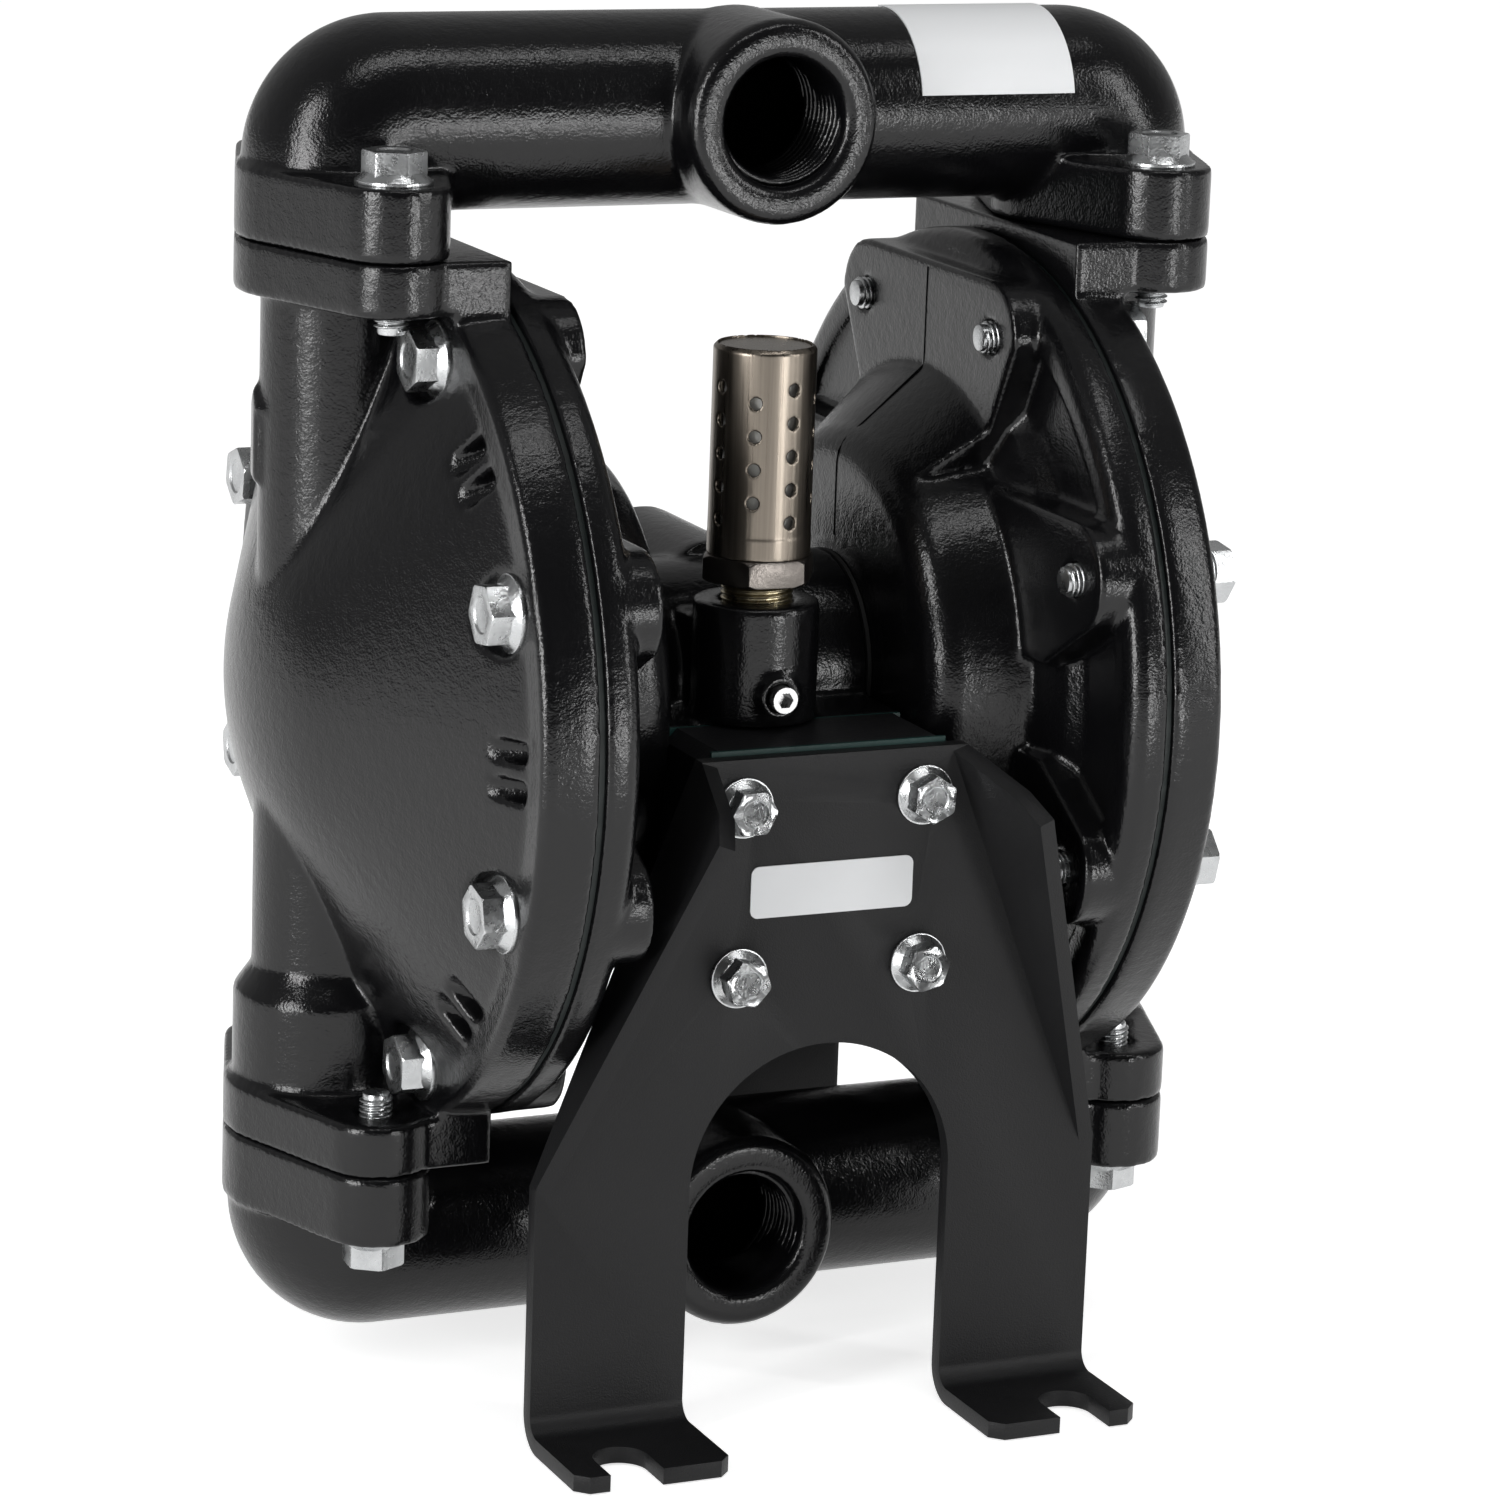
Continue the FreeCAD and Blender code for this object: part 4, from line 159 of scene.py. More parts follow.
bpy.ops.object.select_all(action="DESELECT")
bpy.ops.mesh.primitive_plane_add(size=floor_width, location=(0, 0, -floor_drop))
floor = bpy.context.object
floor.name = "studio_floor"
floor_paint, floor_shader, floor_place = material("floor_white", Base_Color=floor_white, Roughness=0.9,
                                                  Specular_IOR_Level=0.0, Emission_Color=(1, 1, 1, 1))
floor_seen = floor_place.node("ShaderNodeLightPath", "Is Camera Ray")
floor_mirrored = floor_place.node("ShaderNodeLightPath", "Is Glossy Ray")
floor_glow = floor_seen * floor_glow_seen + floor_mirrored * floor_glow_mirrored
feed(floor_shader, "Emission Strength", floor_glow)
floor.data.materials.append(floor_paint)

world = bpy.data.worlds.new("studio_room")
bpy.context.scene.world = world
world.use_nodes = True
room = world.node_tree
direction = Socket(room).node("ShaderNodeTexCoord", "Generated")
room_seen = direction.node("ShaderNodeLightPath", "Is Camera Ray")
room_mirrored = direction.node("ShaderNodeLightPath", "Is Glossy Ray")
towards_back = direction.node("ShaderNodeSeparateXYZ", "Y", Vector=direction)
room_gloss = towards_back * room_gloss_slope + room_gloss_middle
room_strength = room_mirrored * room_gloss + (1 - room_mirrored) * room_light
room.nodes["Background"].inputs["Color"].default_value = (1, 1, 1, 1)
feed(room.nodes["Background"], "Strength", room_strength * (1 - room_seen) + room_seen)

soft_box("left_box", place=(-1.53, -0.58, 0.66), aim=pump_middle, size=(0.22, 1.4), watts=16)
soft_box("right_box", place=(1.3, -1.3, 0.75), aim=pump_middle, size=(0.16, 1.3), watts=8)
soft_box("top_box", place=(0.1, -0.5, 1.6), aim=pump_middle, size=(1.2, 0.09), watts=3.2)
soft_box("side_box", place=(-1.45, -0.92, 0.36), aim=left_dome, size=(0.32, 0.36), watts=5)
soft_box("low_box", place=(0.40, -1.12, 0.13), aim=left_rim, size=(0.16, 0.26), watts=1.8)

# Fluid covers: aluminium castings in gloss black paint, each a dome with a liquid column and two lugs, and
# bolted to its air cover round the rim. The paint lies a little uneven over the cast skin, and every edge is
# soft. A raised arrow on the outer side of the column shows which way the liquid goes.
casting_grid, casting_smoothing, casting_kept, smoothing_factor = 0.0009, 8, 0.3, 0.5
grain_share, peel_share, swell_share = 0.3, 0.4, 0.3
arrow_low, arrow_high, arrow_neck = 0.2182, 0.2407, 0.0057
arrow_half, arrow_shaft, arrow_rise = 0.0065, 0.0042, 0.0016
arrow_turn = math.radians(14)
column_x, column_radius = 0.0978, 0.018
merge_distance = 0.000002


def noise(place, scale, detail, rough=0.5):
    return place.node("ShaderNodeTexNoise", Vector=place, Scale=scale, Detail=detail, Roughness=rough)


def bump(shader, height, depth, strength):
    """Give a shader a fine relief from this height."""
    feed(shader, "Normal", height.node("ShaderNodeBump", Height=height, Distance=depth, Strength=strength))


def use(obj):
    """Make one object the only selected and active one."""
    bpy.ops.object.select_all(action="DESELECT")
    obj.select_set(True)
    bpy.context.view_layer.objects.active = obj


def apply(obj, kind, **settings):
    """Add one modifier with these settings and apply it."""
    use(obj)
    modifier = obj.modifiers.new(kind.lower(), kind)
    for name, value in settings.items():
        setattr(modifier, name, value)
    bpy.ops.object.modifier_apply(modifier=modifier.name)


def finish_piece(obj, paint, body, slot, *nodes):
    """Paint a finished piece, let it ride on its body and stand for its CAD nodes."""
    obj.data.materials.clear()
    obj.data.materials.append(paint)
    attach(obj, body)
    if nodes:
        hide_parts(*nodes)


def solid_copy(name, node):
    """A closed copy of a CAD node's mesh, to be worked on."""
    obj = bpy.data.objects.new(name, frame["nodes"][node].data.copy())
    bpy.context.collection.objects.link(obj)
    use(obj)
    bpy.ops.object.mode_set(mode="EDIT")
    bpy.ops.mesh.select_all(action="SELECT")
    bpy.ops.mesh.remove_doubles(threshold=merge_distance)
    bpy.ops.object.mode_set(mode="OBJECT")
    return obj


def melt(obj, grid=casting_grid, rounds=casting_smoothing, keep=casting_kept):
    """Give an object the soft edges and hollow corners of a casting, and thin the mesh again."""
    apply(obj, "REMESH", mode="VOXEL", voxel_size=grid)
    apply(obj, "SMOOTH", factor=smoothing_factor, iterations=rounds)
    apply(obj, "DECIMATE", decimate_type="COLLAPSE", ratio=keep)
    use(obj)
    bpy.ops.object.shade_smooth()
    return obj


def mirrored(obj, name):
    """A copy on the other side of the pump, turned right side out."""
    twin = obj.copy()
    twin.data = obj.data.copy()
    twin.name = name
    bpy.context.collection.objects.link(twin)
    twin.data.transform(Matrix.Scale(-1, 4, (1, 0, 0)))
    twin.data.flip_normals()
    return twin


def slab(name, outline, length):
    """A prism that goes this far along X from a flat outline of (Y, Z) corners."""
    bpy.ops.mesh.primitive_plane_add(size=1, location=(0, 0, 0))
    block = bpy.context.object
    block.name = name
    block.data.clear_geometry()
    block.data.from_pydata([(0, y, z) for y, z in outline], [], [tuple(range(len(outline)))])
    bpy.ops.object.mode_set(mode="EDIT")
    bpy.ops.mesh.select_all(action="SELECT")
    bpy.ops.mesh.extrude_region_move(TRANSFORM_OT_translate={"value": (length, 0, 0)})
    bpy.ops.mesh.select_all(action="SELECT")
    bpy.ops.mesh.normals_make_consistent(inside=False)
    bpy.ops.object.mode_set(mode="OBJECT")
    return block


def joined(name, *pieces):
    """Several meshes as one object."""
    bpy.ops.object.select_all(action="DESELECT")
    for piece in pieces:
        piece.select_set(True)
    bpy.context.view_layer.objects.active = pieces[0]
    bpy.ops.object.join()
    pieces[0].name = name
    return pieces[0]


cast_paint, cast_shader, cast_place = material("gloss_black_casting", Specular_IOR_Level=0.42)
cast_colour = noise(cast_place, scale=30, detail=3.0).mix((0.002, 0.002, 0.0024), (0.0045, 0.0045, 0.005))
cast_rough = noise(cast_place, scale=45, detail=4.0) * 0.14 + 0.11
grain = noise(cast_place, scale=1700, detail=2.0)
peel = noise(cast_place, scale=420, detail=2.0)
swell = noise(cast_place, scale=110, detail=2.0)
cast_skin = grain * grain_share + peel * peel_share + swell * swell_share
feed(cast_shader, "Base Color", cast_colour)
feed(cast_shader, "Roughness", cast_rough)
bump(cast_shader, cast_skin, depth=0.0004, strength=0.7)

barb_height = arrow_high - arrow_neck
arrow_side = [(0, arrow_high), (arrow_half, barb_height), (arrow_shaft, barb_height),
              (arrow_shaft, arrow_low)]
arrow_outline = arrow_side + [(-y, z) for y, z in reversed(arrow_side[1:])]
arrow = slab("flow_arrow", arrow_outline, column_radius + arrow_rise)
arrow.data.transform(Matrix.Translation((column_x, 0, 0)) @ Matrix.Rotation(arrow_turn, 4, "Z"))
fluid_right = melt(joined("fluid_cover_right", solid_copy("cover_right", "right_fluid_cover"), arrow))
fluid_left = mirrored(fluid_right, "fluid_cover_left")
finish_piece(fluid_right, cast_paint, "casing", "cast", "right_fluid_cover")
finish_piece(fluid_left, cast_paint, "casing", "cast", "left_fluid_cover")

# Air covers: the same castings towards the middle, each a bell with a bolted rim, pads, ribs and an air
# duct, screwed to the centre housing from inside. Under the top pad the bell rises as a cone round the
# shaft, and the mould has left a fine parting line over the cone and the pad.
# The cone's two ends along X with its radii there, and the sides of its sector as (Y, height over the axis).
cone_start, cone_end, cone_small, cone_large = 0.033, 0.056, 0.0529, 0.0723
side_low, side_high = (0.0256, 0.040), (0.0435, 0.0747)
cone_facets, cone_spare = 240, 0.01
# The parting line's course as (X, height over the axis), its half width, and how far it stands out and roots.
parting_path = [(0.0545, 0.0955), (0.0545, 0.0714), (0.0420, 0.0605), (0.0370, 0.0563), (0.0338, 0.0536),
                (0.0323, 0.0508), (0.0320, 0.0480), (0.0320, 0.0300)]
parting_half, parting_rise, parting_root = 0.00022, 0.00025, 0.0008


def middle_of(node):
    """The middle of a CAD node's box, rounded to the micrometre."""
    return [round((low + high) / 2, 6) for low, high in zip(*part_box(node))]


def as_object():
    """The object that an operator has just added, with its place and size in its mesh."""
    bpy.ops.object.transform_apply(location=True, rotation=True, scale=True)
    return bpy.context.object


def merge(base, tool, operation):
    """Join, cut or intersect a closed mesh with another, which is used up."""
    apply(base, "BOOLEAN", object=tool, operation=operation, solver="EXACT")
    bpy.data.objects.remove(tool, do_unlink=True)
    return base


def bell_rise():
    """The sector of a cone round the shaft that stands under the top pad."""
    bpy.ops.mesh.primitive_cone_add(vertices=cone_facets, radius1=cone_small, radius2=cone_large,
                                    depth=cone_end - cone_start,
                                    location=((cone_start + cone_end) / 2, 0, axis_height),
                                    rotation=(0, math.pi / 2, 0))
    cone = as_object()
    corners = [(way * half, axis_height + height) for way, (half, height) in
               ((-1, side_low), (1, side_low), (1, side_high), (-1, side_high))]
    return merge(cone, slab("sector", corners, cone_end + cone_spare), "INTERSECT")


def parting_line():
    """A fine ridge along the parting path, in the middle of the pump's depth."""
    outer, inner = [], []
    for number, (x, height) in enumerate(parting_path):
        before = Vector(parting_path[max(0, number - 1)])
        after = Vector(parting_path[min(len(parting_path) - 1, number + 1)])
        along = (after - before).normalized()
        out = Vector((along.y, -along.x))
        outer.append((x + out.x * parting_rise, axis_height + height + out.y * parting_rise))
        inner.append((x - out.x * parting_root, axis_height + height - out.y * parting_root))
    ridge = slab("parting_line", outer + inner[::-1], 2 * parting_half)
    x_and_y_swapped = Matrix(((0, 1, 0, 0), (1, 0, 0, -parting_half), (0, 0, 1, 0), (0, 0, 0, 1)))
    ridge.data.transform(x_and_y_swapped)
    ridge.data.flip_normals()
    return ridge


axis_height = middle_of("right_fluid_cover")[2]
air_right = melt(joined("air_cover_right", solid_copy("cover_right", "right_air_cover"), bell_rise()))
air_right = joined("air_cover_right", air_right, parting_line())
air_left = mirrored(air_right, "air_cover_left")
finish_piece(air_right, cast_paint, "casing", "cast", "right_air_cover")
finish_piece(air_left, cast_paint, "casing", "cast", "left_air_cover")

# Manifolds: cast tubes in the same paint, with a round corner and a bolted flange at each end and a
# threaded port in the middle. The upper one carries the liquid out, the lower one lets it in.
for name in ("outlet", "inlet"):
    manifold = melt(solid_copy(f"{name}_pipe", f"{name}_manifold"))
    finish_piece(manifold, cast_paint, "casing", "cast", f"{name}_manifold")

# Centre housing: the painted casting between the air covers, with a barrel round the shaft, a block below it
# for the valve, the exhaust boss in front and the air inlet behind.
housing = melt(solid_copy("housing", "center_housing"))
finish_piece(housing, cast_paint, "casing", "cast", "center_housing")

# Bolts: zinc-plated flange bolts with a chamfered hexagon and a threaded end, M8 on the covers and the
# manifolds and M6 on the brackets. One of each length is modelled and copied to every hole, and each head
# is tightened to an angle of its own.
m8 = {"flats": 0.013, "height": 0.0075, "washer": 0.00895, "shank": 0.004, "pitch": 0.00125}
m6 = {"flats": 0.010, "height": 0.0066, "washer": 0.0071, "shank": 0.003, "pitch": 0.001}
round_facets, shank_facets, thread_steps = 72, 48, 40
edge_angle, edge_segments = math.radians(28), 2
# The cone that turns a hexagon's corners down passes just outside them: they lie at 0.577 of the flats.
corner_reach = 0.585
# A thread's crest and foot along its pitch, and its depth and sunken foot, as shares.
crest_start, crest_end, foot_end, thread_depth, thread_sunk = 0.42, 0.56, 0.98, 0.6, 1.3
shank_chamfer = 0.14


def soften(obj, width):
    """Round the sharp edges by bevelling them, and shade the rest smooth."""
    apply(obj, "BEVEL", width=width, segments=edge_segments, limit_method="ANGLE", angle_limit=edge_angle,
          harden_normals=False, use_clamp_overlap=True)
    use(obj)
    bpy.ops.object.shade_smooth_by_angle(angle=edge_angle)
    return obj


def hexagon_prism(flats, height, ends, chamfer):
    """A hexagon whose upper corners, and its lower ones when ends is 2, are turned down to a cone."""
    bpy.ops.mesh.primitive_cylinder_add(vertices=6, radius=flats / math.sqrt(3), depth=height,
                                        location=(0, 0, height / 2), rotation=(0, 0, math.radians(30)))
    prism = as_object()
    reach = flats * corner_reach
    for number in range(ends):
        bpy.ops.mesh.primitive_cone_add(vertices=round_facets, radius1=reach + height - chamfer,
                                        radius2=reach - chamfer, depth=height, location=(0, 0, height / 2),
                                        rotation=(math.pi * number, 0, 0))
        prism = merge(prism, as_object(), "INTERSECT")
    return prism


def thread_ridge(radius, depth, pitch, low, high):
    """The helical ridge of a thread, from low to high along Z. A negative depth makes an inner thread."""
    bpy.ops.mesh.primitive_plane_add(size=1, location=(0, 0, 0))
    ridge = as_object()
    foot = radius - depth * thread_sunk
    corners = ((foot, 0.0), (radius, crest_start), (foot, foot_end), (radius, crest_end))
    for vertex, (x, share) in zip(ridge.data.vertices, corners):
        vertex.co = (x, 0, low + pitch * share)
    bpy.ops.object.mode_set(mode="EDIT")
    bpy.ops.mesh.delete(type="ONLY_FACE")
    bpy.ops.object.mode_set(mode="OBJECT")
    turns = max(1, int((high - low) / pitch) - 1)
    apply(ridge, "SCREW", angle=math.tau, screw_offset=pitch, iterations=turns, steps=thread_steps,
          render_steps=thread_steps, use_smooth_shade=True)
    use(ridge)
    bpy.ops.object.mode_set(mode="EDIT")
    bpy.ops.mesh.select_all(action="DESELECT")
    bpy.ops.mesh.select_mode(type="EDGE")
    bpy.ops.mesh.select_non_manifold()
    bpy.ops.mesh.edge_face_add()
    bpy.ops.mesh.select_all(action="SELECT")
    bpy.ops.mesh.normals_make_consistent(inside=False)
    bpy.ops.mesh.select_mode(type="VERT")
    bpy.ops.object.mode_set(mode="OBJECT")
    return ridge


def threaded_shank(radius, length, pitch):
    """A threaded shank below Z = 0 with a chamfered end."""
    depth = thread_depth * pitch
    root = radius - depth
    chamfer = root * shank_chamfer
    bpy.ops.mesh.primitive_cylinder_add(vertices=shank_facets, radius=root, depth=length,
                                        location=(0, 0, -length / 2))
    core = soften(as_object(), chamfer)
    return joined("shank", core, thread_ridge(radius, depth, pitch, -length + chamfer, 0.0))


def flange_bolt(length, flats, height, washer, shank, pitch):
    """A hexagon flange bolt: its seat at Z = 0, its head above and its shank below."""
    corner_cut, edge_round = flats * 0.035, flats * 0.018
    slope_top, slope_rise, slope_lift = flats * 0.53, height * 0.3, height * 0.05
    rim_depth, rim_middle = height * 0.12, height * 0.06
    dish_floor, dish_mouth, dish_depth = flats * 0.30, flats * 0.36, height * 0.12
    head = hexagon_prism(flats, height, 1, corner_cut)
    bpy.ops.mesh.primitive_cone_add(vertices=round_facets, radius1=washer, radius2=slope_top,
                                    depth=slope_rise, location=(0, 0, slope_rise / 2 + slope_lift))
    head = merge(head, as_object(), "UNION")
    bpy.ops.mesh.primitive_cylinder_add(vertices=round_facets, radius=washer, depth=rim_depth,
                                        location=(0, 0, rim_middle))
    head = merge(head, as_object(), "UNION")
    bpy.ops.mesh.primitive_cone_add(vertices=shank_facets, radius1=dish_floor, radius2=dish_mouth,
                                    depth=dish_depth, location=(0, 0, height))
    head = soften(merge(head, as_object(), "DIFFERENCE"), edge_round)
    return joined("flange_bolt", head, threaded_shank(shank, length, pitch))


def spread(name, pattern, spots, node):
    """Copy one pattern to every spot, as one zinc piece that stands for a CAD node."""
    copies = []
    for spot in spots:
        copy = pattern.copy()
        copy.data = pattern.data.copy()
        bpy.context.collection.objects.link(copy)
        copy.data.transform(spot)
        copies.append(copy)
    piece = joined(name, *copies)
    bpy.data.objects.remove(pattern, do_unlink=True)
    finish_piece(piece, zinc, "casing", "zinc", node)


def facing(axis, point, turn=0.0):
    """Place for something modelled along Z: its Z goes along the axis, its origin to the point."""
    aim = Vector(axis).to_track_quat("Z", "Y").to_matrix().to_4x4()
    return Matrix.Translation(point) @ aim @ Matrix.Rotation(turn, 4, "Z")


zinc, zinc_shader, zinc_place = material("bright_zinc", Metallic=1.0)
tarnish = noise(zinc_place, scale=160, detail=4.0, rough=0.6)
feed(zinc_shader, "Base Color", tarnish.mix((0.38, 0.39, 0.40), (0.68, 0.69, 0.69)))
feed(zinc_shader, "Roughness", noise(zinc_place, scale=420, detail=3.0) * 0.22 + 0.17)
bump(zinc_shader, noise(zinc_place, scale=1500, detail=3.0), depth=0.0003, strength=0.25)

bolt_circle, bolt_count, cover_turn = 0.0906, 8, 0.37
bolt_step = 360 / bolt_count
for side, way in (("right", 1), ("left", -1)):
    low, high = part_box(f"{side}_cover_bolts")
    outer = max(abs(low[0]), abs(high[0])) - m8["height"]
    inner = min(abs(low[0]), abs(high[0]))
    spots = []
    for number in range(bolt_count):
        angle = math.radians(bolt_step / 2 + bolt_step * number)
        point = (way * outer, bolt_circle * math.sin(angle), axis_height + bolt_circle * math.cos(angle))
        spots.append(facing((way, 0, 0), point, cover_turn * number))
    spread(f"{side}_flange_bolts", flange_bolt(outer - inner, **m8), spots, f"{side}_cover_bolts")

ear_x, ear_y = 0.0976, 0.0349
first_ear_turn, ear_turn = 0.3, 0.45
for name, way in (("outlet", 1), ("inlet", -1)):
    low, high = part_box(f"{name}_manifold_bolts")
    seat = high[2] - m8["height"] if way > 0 else low[2] + m8["height"]
    length = high[2] - low[2] - m8["height"]
    spots = []
    for number, (x, y) in enumerate(((1, 1), (1, -1), (-1, 1), (-1, -1))):
        turn = first_ear_turn + ear_turn * number
        spots.append(facing((0, 0, way), (x * ear_x, y * ear_y, seat), turn))
    spread(f"{name}_pipe_bolts", flange_bolt(length, **m8), spots, f"{name}_manifold_bolts")

bracket_column, bracket_rows = 0.02307, (0.1514, 0.1106)
first_plate_turn, row_turn, column_turn = 0.25, 0.8, 9
for name, way in (("front", -1), ("rear", 1)):
    low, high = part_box(f"{name}_bracket_bolts")
    seat = low[1] + m6["height"] if way < 0 else high[1] - m6["height"]
    length = high[1] - low[1] - m6["height"]
    spots = []
    for number, height in enumerate(bracket_rows):
        for x in (-bracket_column, bracket_column):
            turn = first_plate_turn + row_turn * number + column_turn * x
            spots.append(facing((0, way, 0), (x, seat, height), turn))
    spread(f"{name}_plate_bolts", flange_bolt(length, **m6), spots, f"{name}_bracket_bolts")

# Port threads: the inner pipe threads of the two liquid ports, cut in the painted manifolds.
# Each is a helical ridge on the wall of its port, under the same paint.
tube_radius, port_radius, port_pitch = 0.023, 0.01515, 0.00231
port_inset, port_depth, port_start, port_end = 0.0006, 0.0011, 0.008, 0.0315
for name in ("outlet", "inlet"):
    low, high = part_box(f"{name}_manifold")
    tube_height = high[2] - tube_radius if name == "outlet" else low[2] + tube_radius
    thread = thread_ridge(port_radius - port_inset, -port_depth, port_pitch, port_start, port_end)
    thread.data.transform(facing((0, -1, 0), (0, 0, tube_height)))
    thread.name = f"{name}_port_thread"
    finish_piece(thread, cast_paint, "casing", "cast")

# Exhaust muffler: a perforated nickel tube with a flat end, screwed with a dark hexagon and a brass thread
# into the boss of the centre housing. The tube is brushed upwards and its holes have soft edges.
tube_grid, tube_smoothing = 0.00028, 5
lid_edge, nut_edge, nut_chamfer = 0.0003, 0.0003, 0.0012
nut_height, nut_flats, nut_turn = 0.0064, 0.0242, math.radians(27.4 + 30)
neck_radius, neck_pitch, neck_overlap = 0.00855, 0.00134, 0.0002
flat_angle = math.radians(0.6)


def edged(name, node, width):
    """A copy of a CAD node with its flat faces made whole and its edges rounded."""
    obj = solid_copy(name, node)
    use(obj)
    bpy.ops.object.mode_set(mode="EDIT")
    bpy.ops.mesh.dissolve_limited(angle_limit=flat_angle)
    bpy.ops.object.mode_set(mode="OBJECT")
    return soften(obj, width)


def mottled(name, colour=None, rough=None, relief=None, **constants):
    """A material that varies a little over the surface, each time by a noise of this scale and detail.

    colour is (scale, detail, darkest, lightest), rough is (scale, detail, span, least),
    and relief is (scale, detail, depth, strength).
    """
    new, shader, place = material(name, **constants)
    if colour:
        scale, detail, darkest, lightest = colour
        feed(shader, "Base Color", noise(place, scale, detail).mix(darkest, lightest))
    if rough:
        scale, detail, span, least = rough
        feed(shader, "Roughness", noise(place, scale, detail) * span + least)
    if relief:
        scale, detail, depth, strength = relief
        bump(shader, noise(place, scale, detail), depth, strength)
    return new


nickel, nickel_shader, nickel_place = material("brushed_nickel", Metallic=1.0)
stretched = nickel_place.node("ShaderNodeMapping", Vector=nickel_place, Scale=(900, 900, 14))
streaks = noise(stretched, scale=1.0, detail=3.0)
feed(nickel_shader, "Base Color", streaks.mix((0.12, 0.10, 0.082), (0.34, 0.30, 0.25)))
feed(nickel_shader, "Roughness", streaks * 0.2 + 0.2)
bump(nickel_shader, streaks, depth=0.0002, strength=0.25)
dark_steel = mottled("dark_steel", Metallic=1.0,
                     colour=(90, 4.0, (0.10, 0.09, 0.085), (0.22, 0.20, 0.18)),
                     rough=(300, 3.0, 0.2, 0.22), relief=(1200, 2.0, 0.0002, 0.3))
brass = mottled("brass", Metallic=1.0,
                colour=(200, 3.0, (0.38, 0.32, 0.20), (0.60, 0.54, 0.38)), rough=(500, 2.0, 0.2, 0.2))

muffler_tube = melt(solid_copy("muffler_tube", "muffler_body"), tube_grid, tube_smoothing)
finish_piece(muffler_tube, nickel, "casing", "nickel", "muffler_body")
muffler_lid = edged("muffler_lid", "muffler_end_disc", lid_edge)
finish_piece(muffler_lid, nickel, "casing", "nickel", "muffler_end_disc")

muffler_x, muffler_y = middle_of("muffler_body")[:2]
nut_low = round(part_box("muffler_body")[0][2] - nut_height, 6)
fitting_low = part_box("muffler_fitting")[0][2]
nut = soften(hexagon_prism(nut_flats, nut_height, 2, nut_chamfer), nut_edge)
nut.name = "muffler_nut"
nut.data.transform(facing((0, 0, 1), (muffler_x, muffler_y, nut_low), nut_turn))
finish_piece(nut, dark_steel, "casing", "steel", "muffler_fitting")
neck = threaded_shank(neck_radius, nut_low - fitting_low, neck_pitch)
neck.name = "muffler_neck"
neck.data.transform(Matrix.Translation((muffler_x, muffler_y, nut_low + neck_overlap)))
finish_piece(neck, brass, "casing", "steel", "muffler_fitting")

# Brackets: two folded steel plates in satin black powder, each with an arch, side flanges and slotted feet.
# The front one is bolted on through the valve body and the rear one straight to the housing.
sheet_edge = 0.0004
powder = mottled("satin_black_powder", Base_Color=(0.006, 0.006, 0.0065, 1), Specular_IOR_Level=0.26,
                 rough=(60, 4.0, 0.12, 0.36), relief=(2600, 2.0, 0.0003, 0.35))
for name in ("front", "rear"):
    plate = edged(f"{name}_stand", f"{name}_bracket", sheet_edge)
    finish_piece(plate, powder, "casing", "bracket", f"{name}_bracket")

# Diaphragms: green rubber sheets, held between the covers at the rim and between the plates in the
# middle. Each is made of eight sectors, and their green is painted much darker than the gaskets as painted
# shade of the narrow groove between the covers, where their edge shows.
sector_count, sector_reach = 8, 0.125
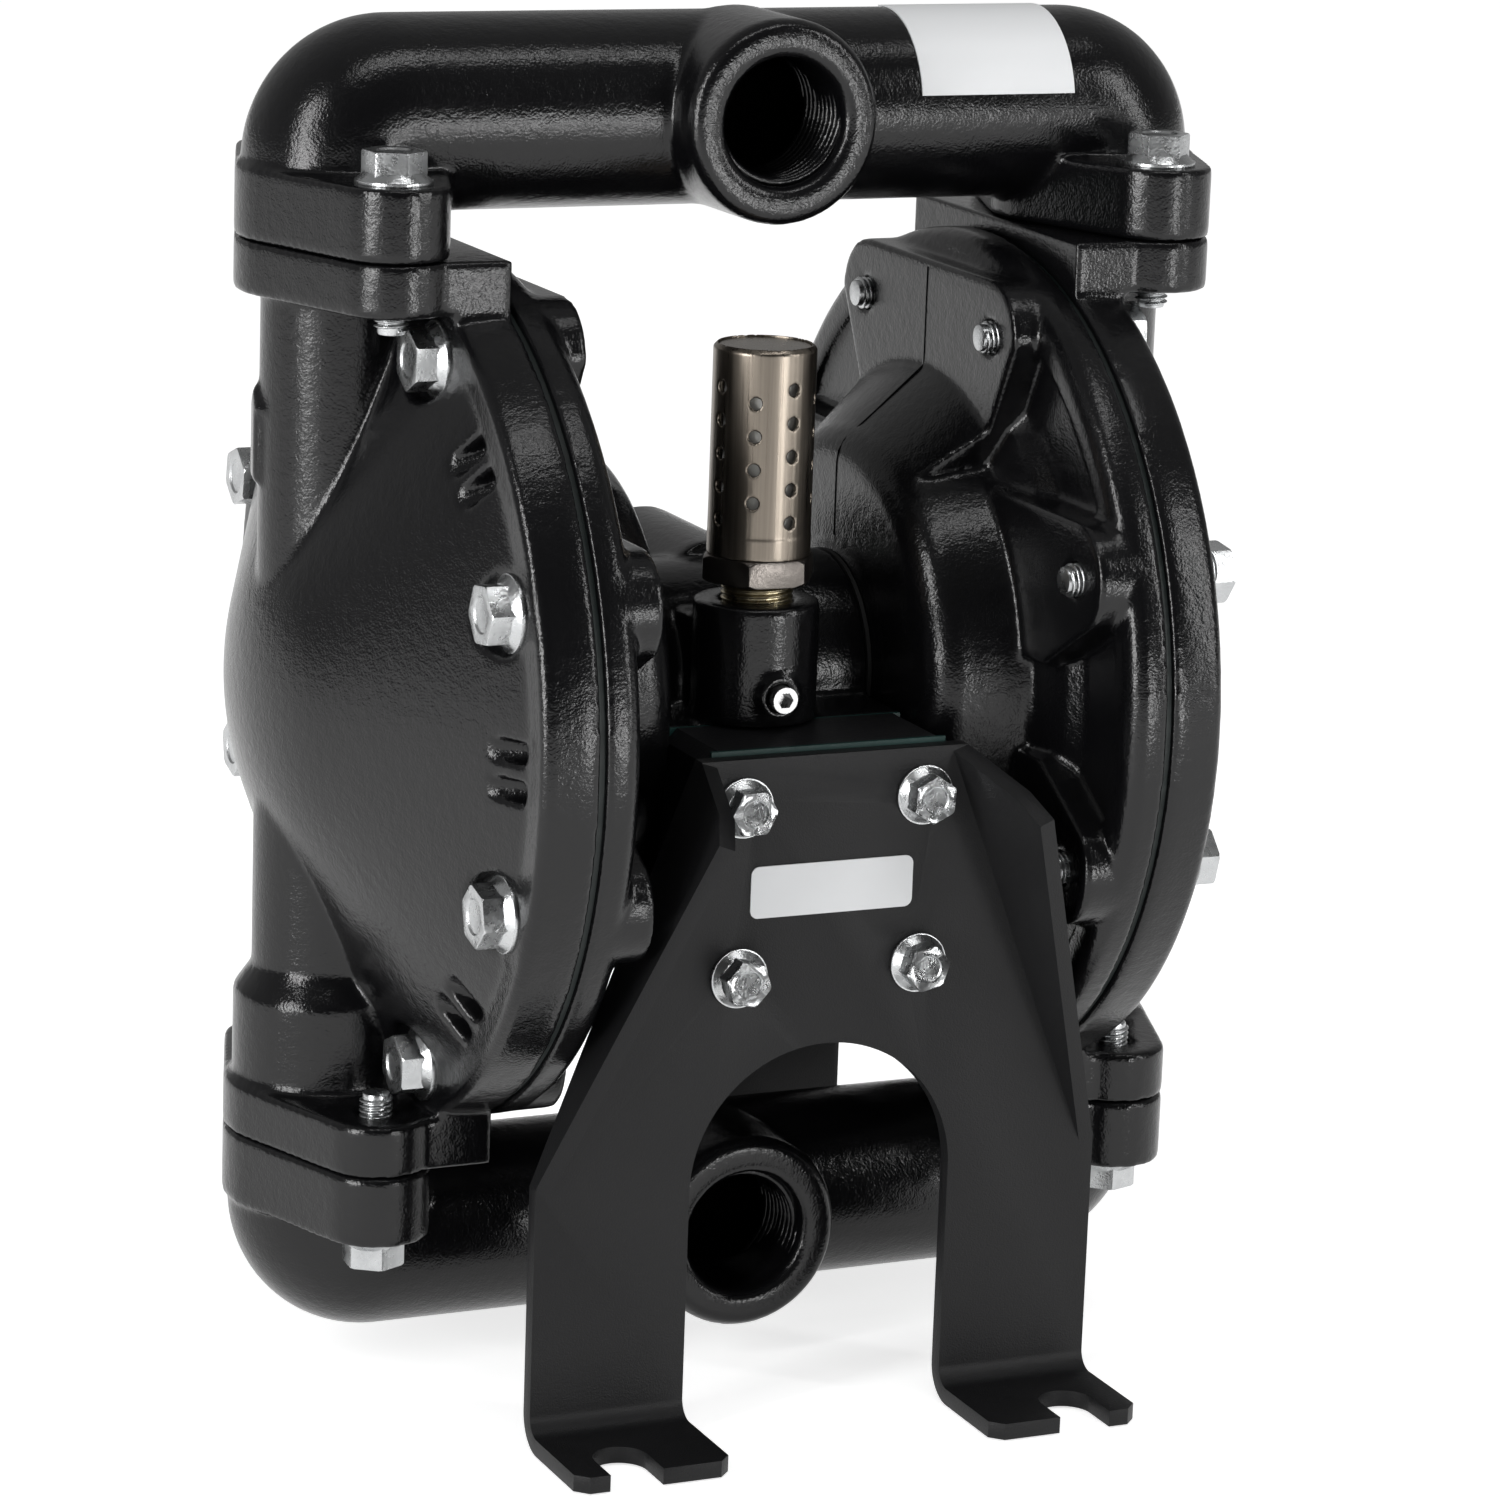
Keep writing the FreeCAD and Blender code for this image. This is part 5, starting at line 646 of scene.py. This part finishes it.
sector_step = 360 / sector_count
slots = {piece["node"]: piece["material_slot"] for piece in frame["record"]["subparts"]}
# The diaphragms' green rubber, painted about five times darker than the gaskets' green: painted shade of the
# groove at the rim.
diaphragm_painted_shade = mottled("diaphragm_green_with_painted_shade", rough=(300, 2.0, 0.2, 0.45),
                     colour=(120, 3.0, (0.001, 0.004, 0.0035), (0.001, 0.009, 0.008)))
for side in ("left", "right"):
    for number in range(sector_count):
        first, middle, last = (math.radians(sector_step * (number + share)) for share in (0, 0.5, 1))
        corners = [(0, axis_height)]
        for angle in (first, last):
            corners.append((sector_reach * math.sin(angle), axis_height + sector_reach * math.cos(angle)))
        wedge = slab("sector", corners, 2 * sector_reach)
        wedge.data.transform(Matrix.Translation((-sector_reach, 0, 0)))
        sector = merge(solid_copy(f"{side}_sheet_{number + 1}", f"{side}_diaphragm"), wedge, "INTERSECT")
        sector.data.materials.clear()
        sector.data.materials.append(diaphragm_painted_shade)
        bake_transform(sector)
        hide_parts(f"{side}_diaphragm")

# Small parts that keep their CAD shape: gaskets, the valve, seats, balls, the shaft and the bare labels.
# Each gets the finish that its material slot names, but the gaskets behind the air covers are black rubber.
rubber_green = mottled("green_rubber", rough=(300, 2.0, 0.2, 0.4),
                       colour=(120, 3.0, (0.001, 0.020, 0.017), (0.002, 0.042, 0.036)))
valve_paint = mottled("satin_black_valve", Base_Color=(0.007, 0.007, 0.008, 1),
                      rough=(70, 3.0, 0.15, 0.28), relief=(900, 3.0, 0.0003, 0.35))
steel = mottled("turned_steel", Metallic=1.0, rough=(500, 2.0, 0.2, 0.18),
                colour=(80, 3.0, (0.40, 0.40, 0.40), (0.60, 0.60, 0.60)))
rubber = mottled("black_rubber", Base_Color=(0.012, 0.012, 0.012, 1), rough=(200, 2.0, 0.2, 0.5))
plastic = mottled("white_plastic", Base_Color=(0.78, 0.77, 0.73, 1), rough=(150, 2.0, 0.15, 0.35))
bronze = mottled("plain_bronze", Metallic=1.0, rough=(400, 2.0, 0.2, 0.25),
                 colour=(150, 3.0, (0.38, 0.24, 0.12), (0.55, 0.38, 0.20)))
alloy = mottled("turned_aluminium", Metallic=1.0, rough=(400, 2.0, 0.15, 0.25),
                colour=(150, 3.0, (0.60, 0.61, 0.62), (0.75, 0.76, 0.77)))
film = mottled("white_film", Base_Color=(0.74, 0.75, 0.76, 1), rough=(60, 2.0, 0.1, 0.32))
finishes = {
    "cast": cast_paint, "bracket": powder, "zinc": zinc, "steel": steel, "nickel": nickel,
    "valve_paint": valve_paint, "gasket": rubber_green, "rubber": rubber, "plastic": plastic,
    "bronze": bronze, "alloy": alloy, "label": film,
}
for name, node in frame["nodes"].items():
    finish = rubber if name.endswith("air_gasket") else finishes[slots[name]]
    for material_place in node.material_slots:
        material_place.material = finish
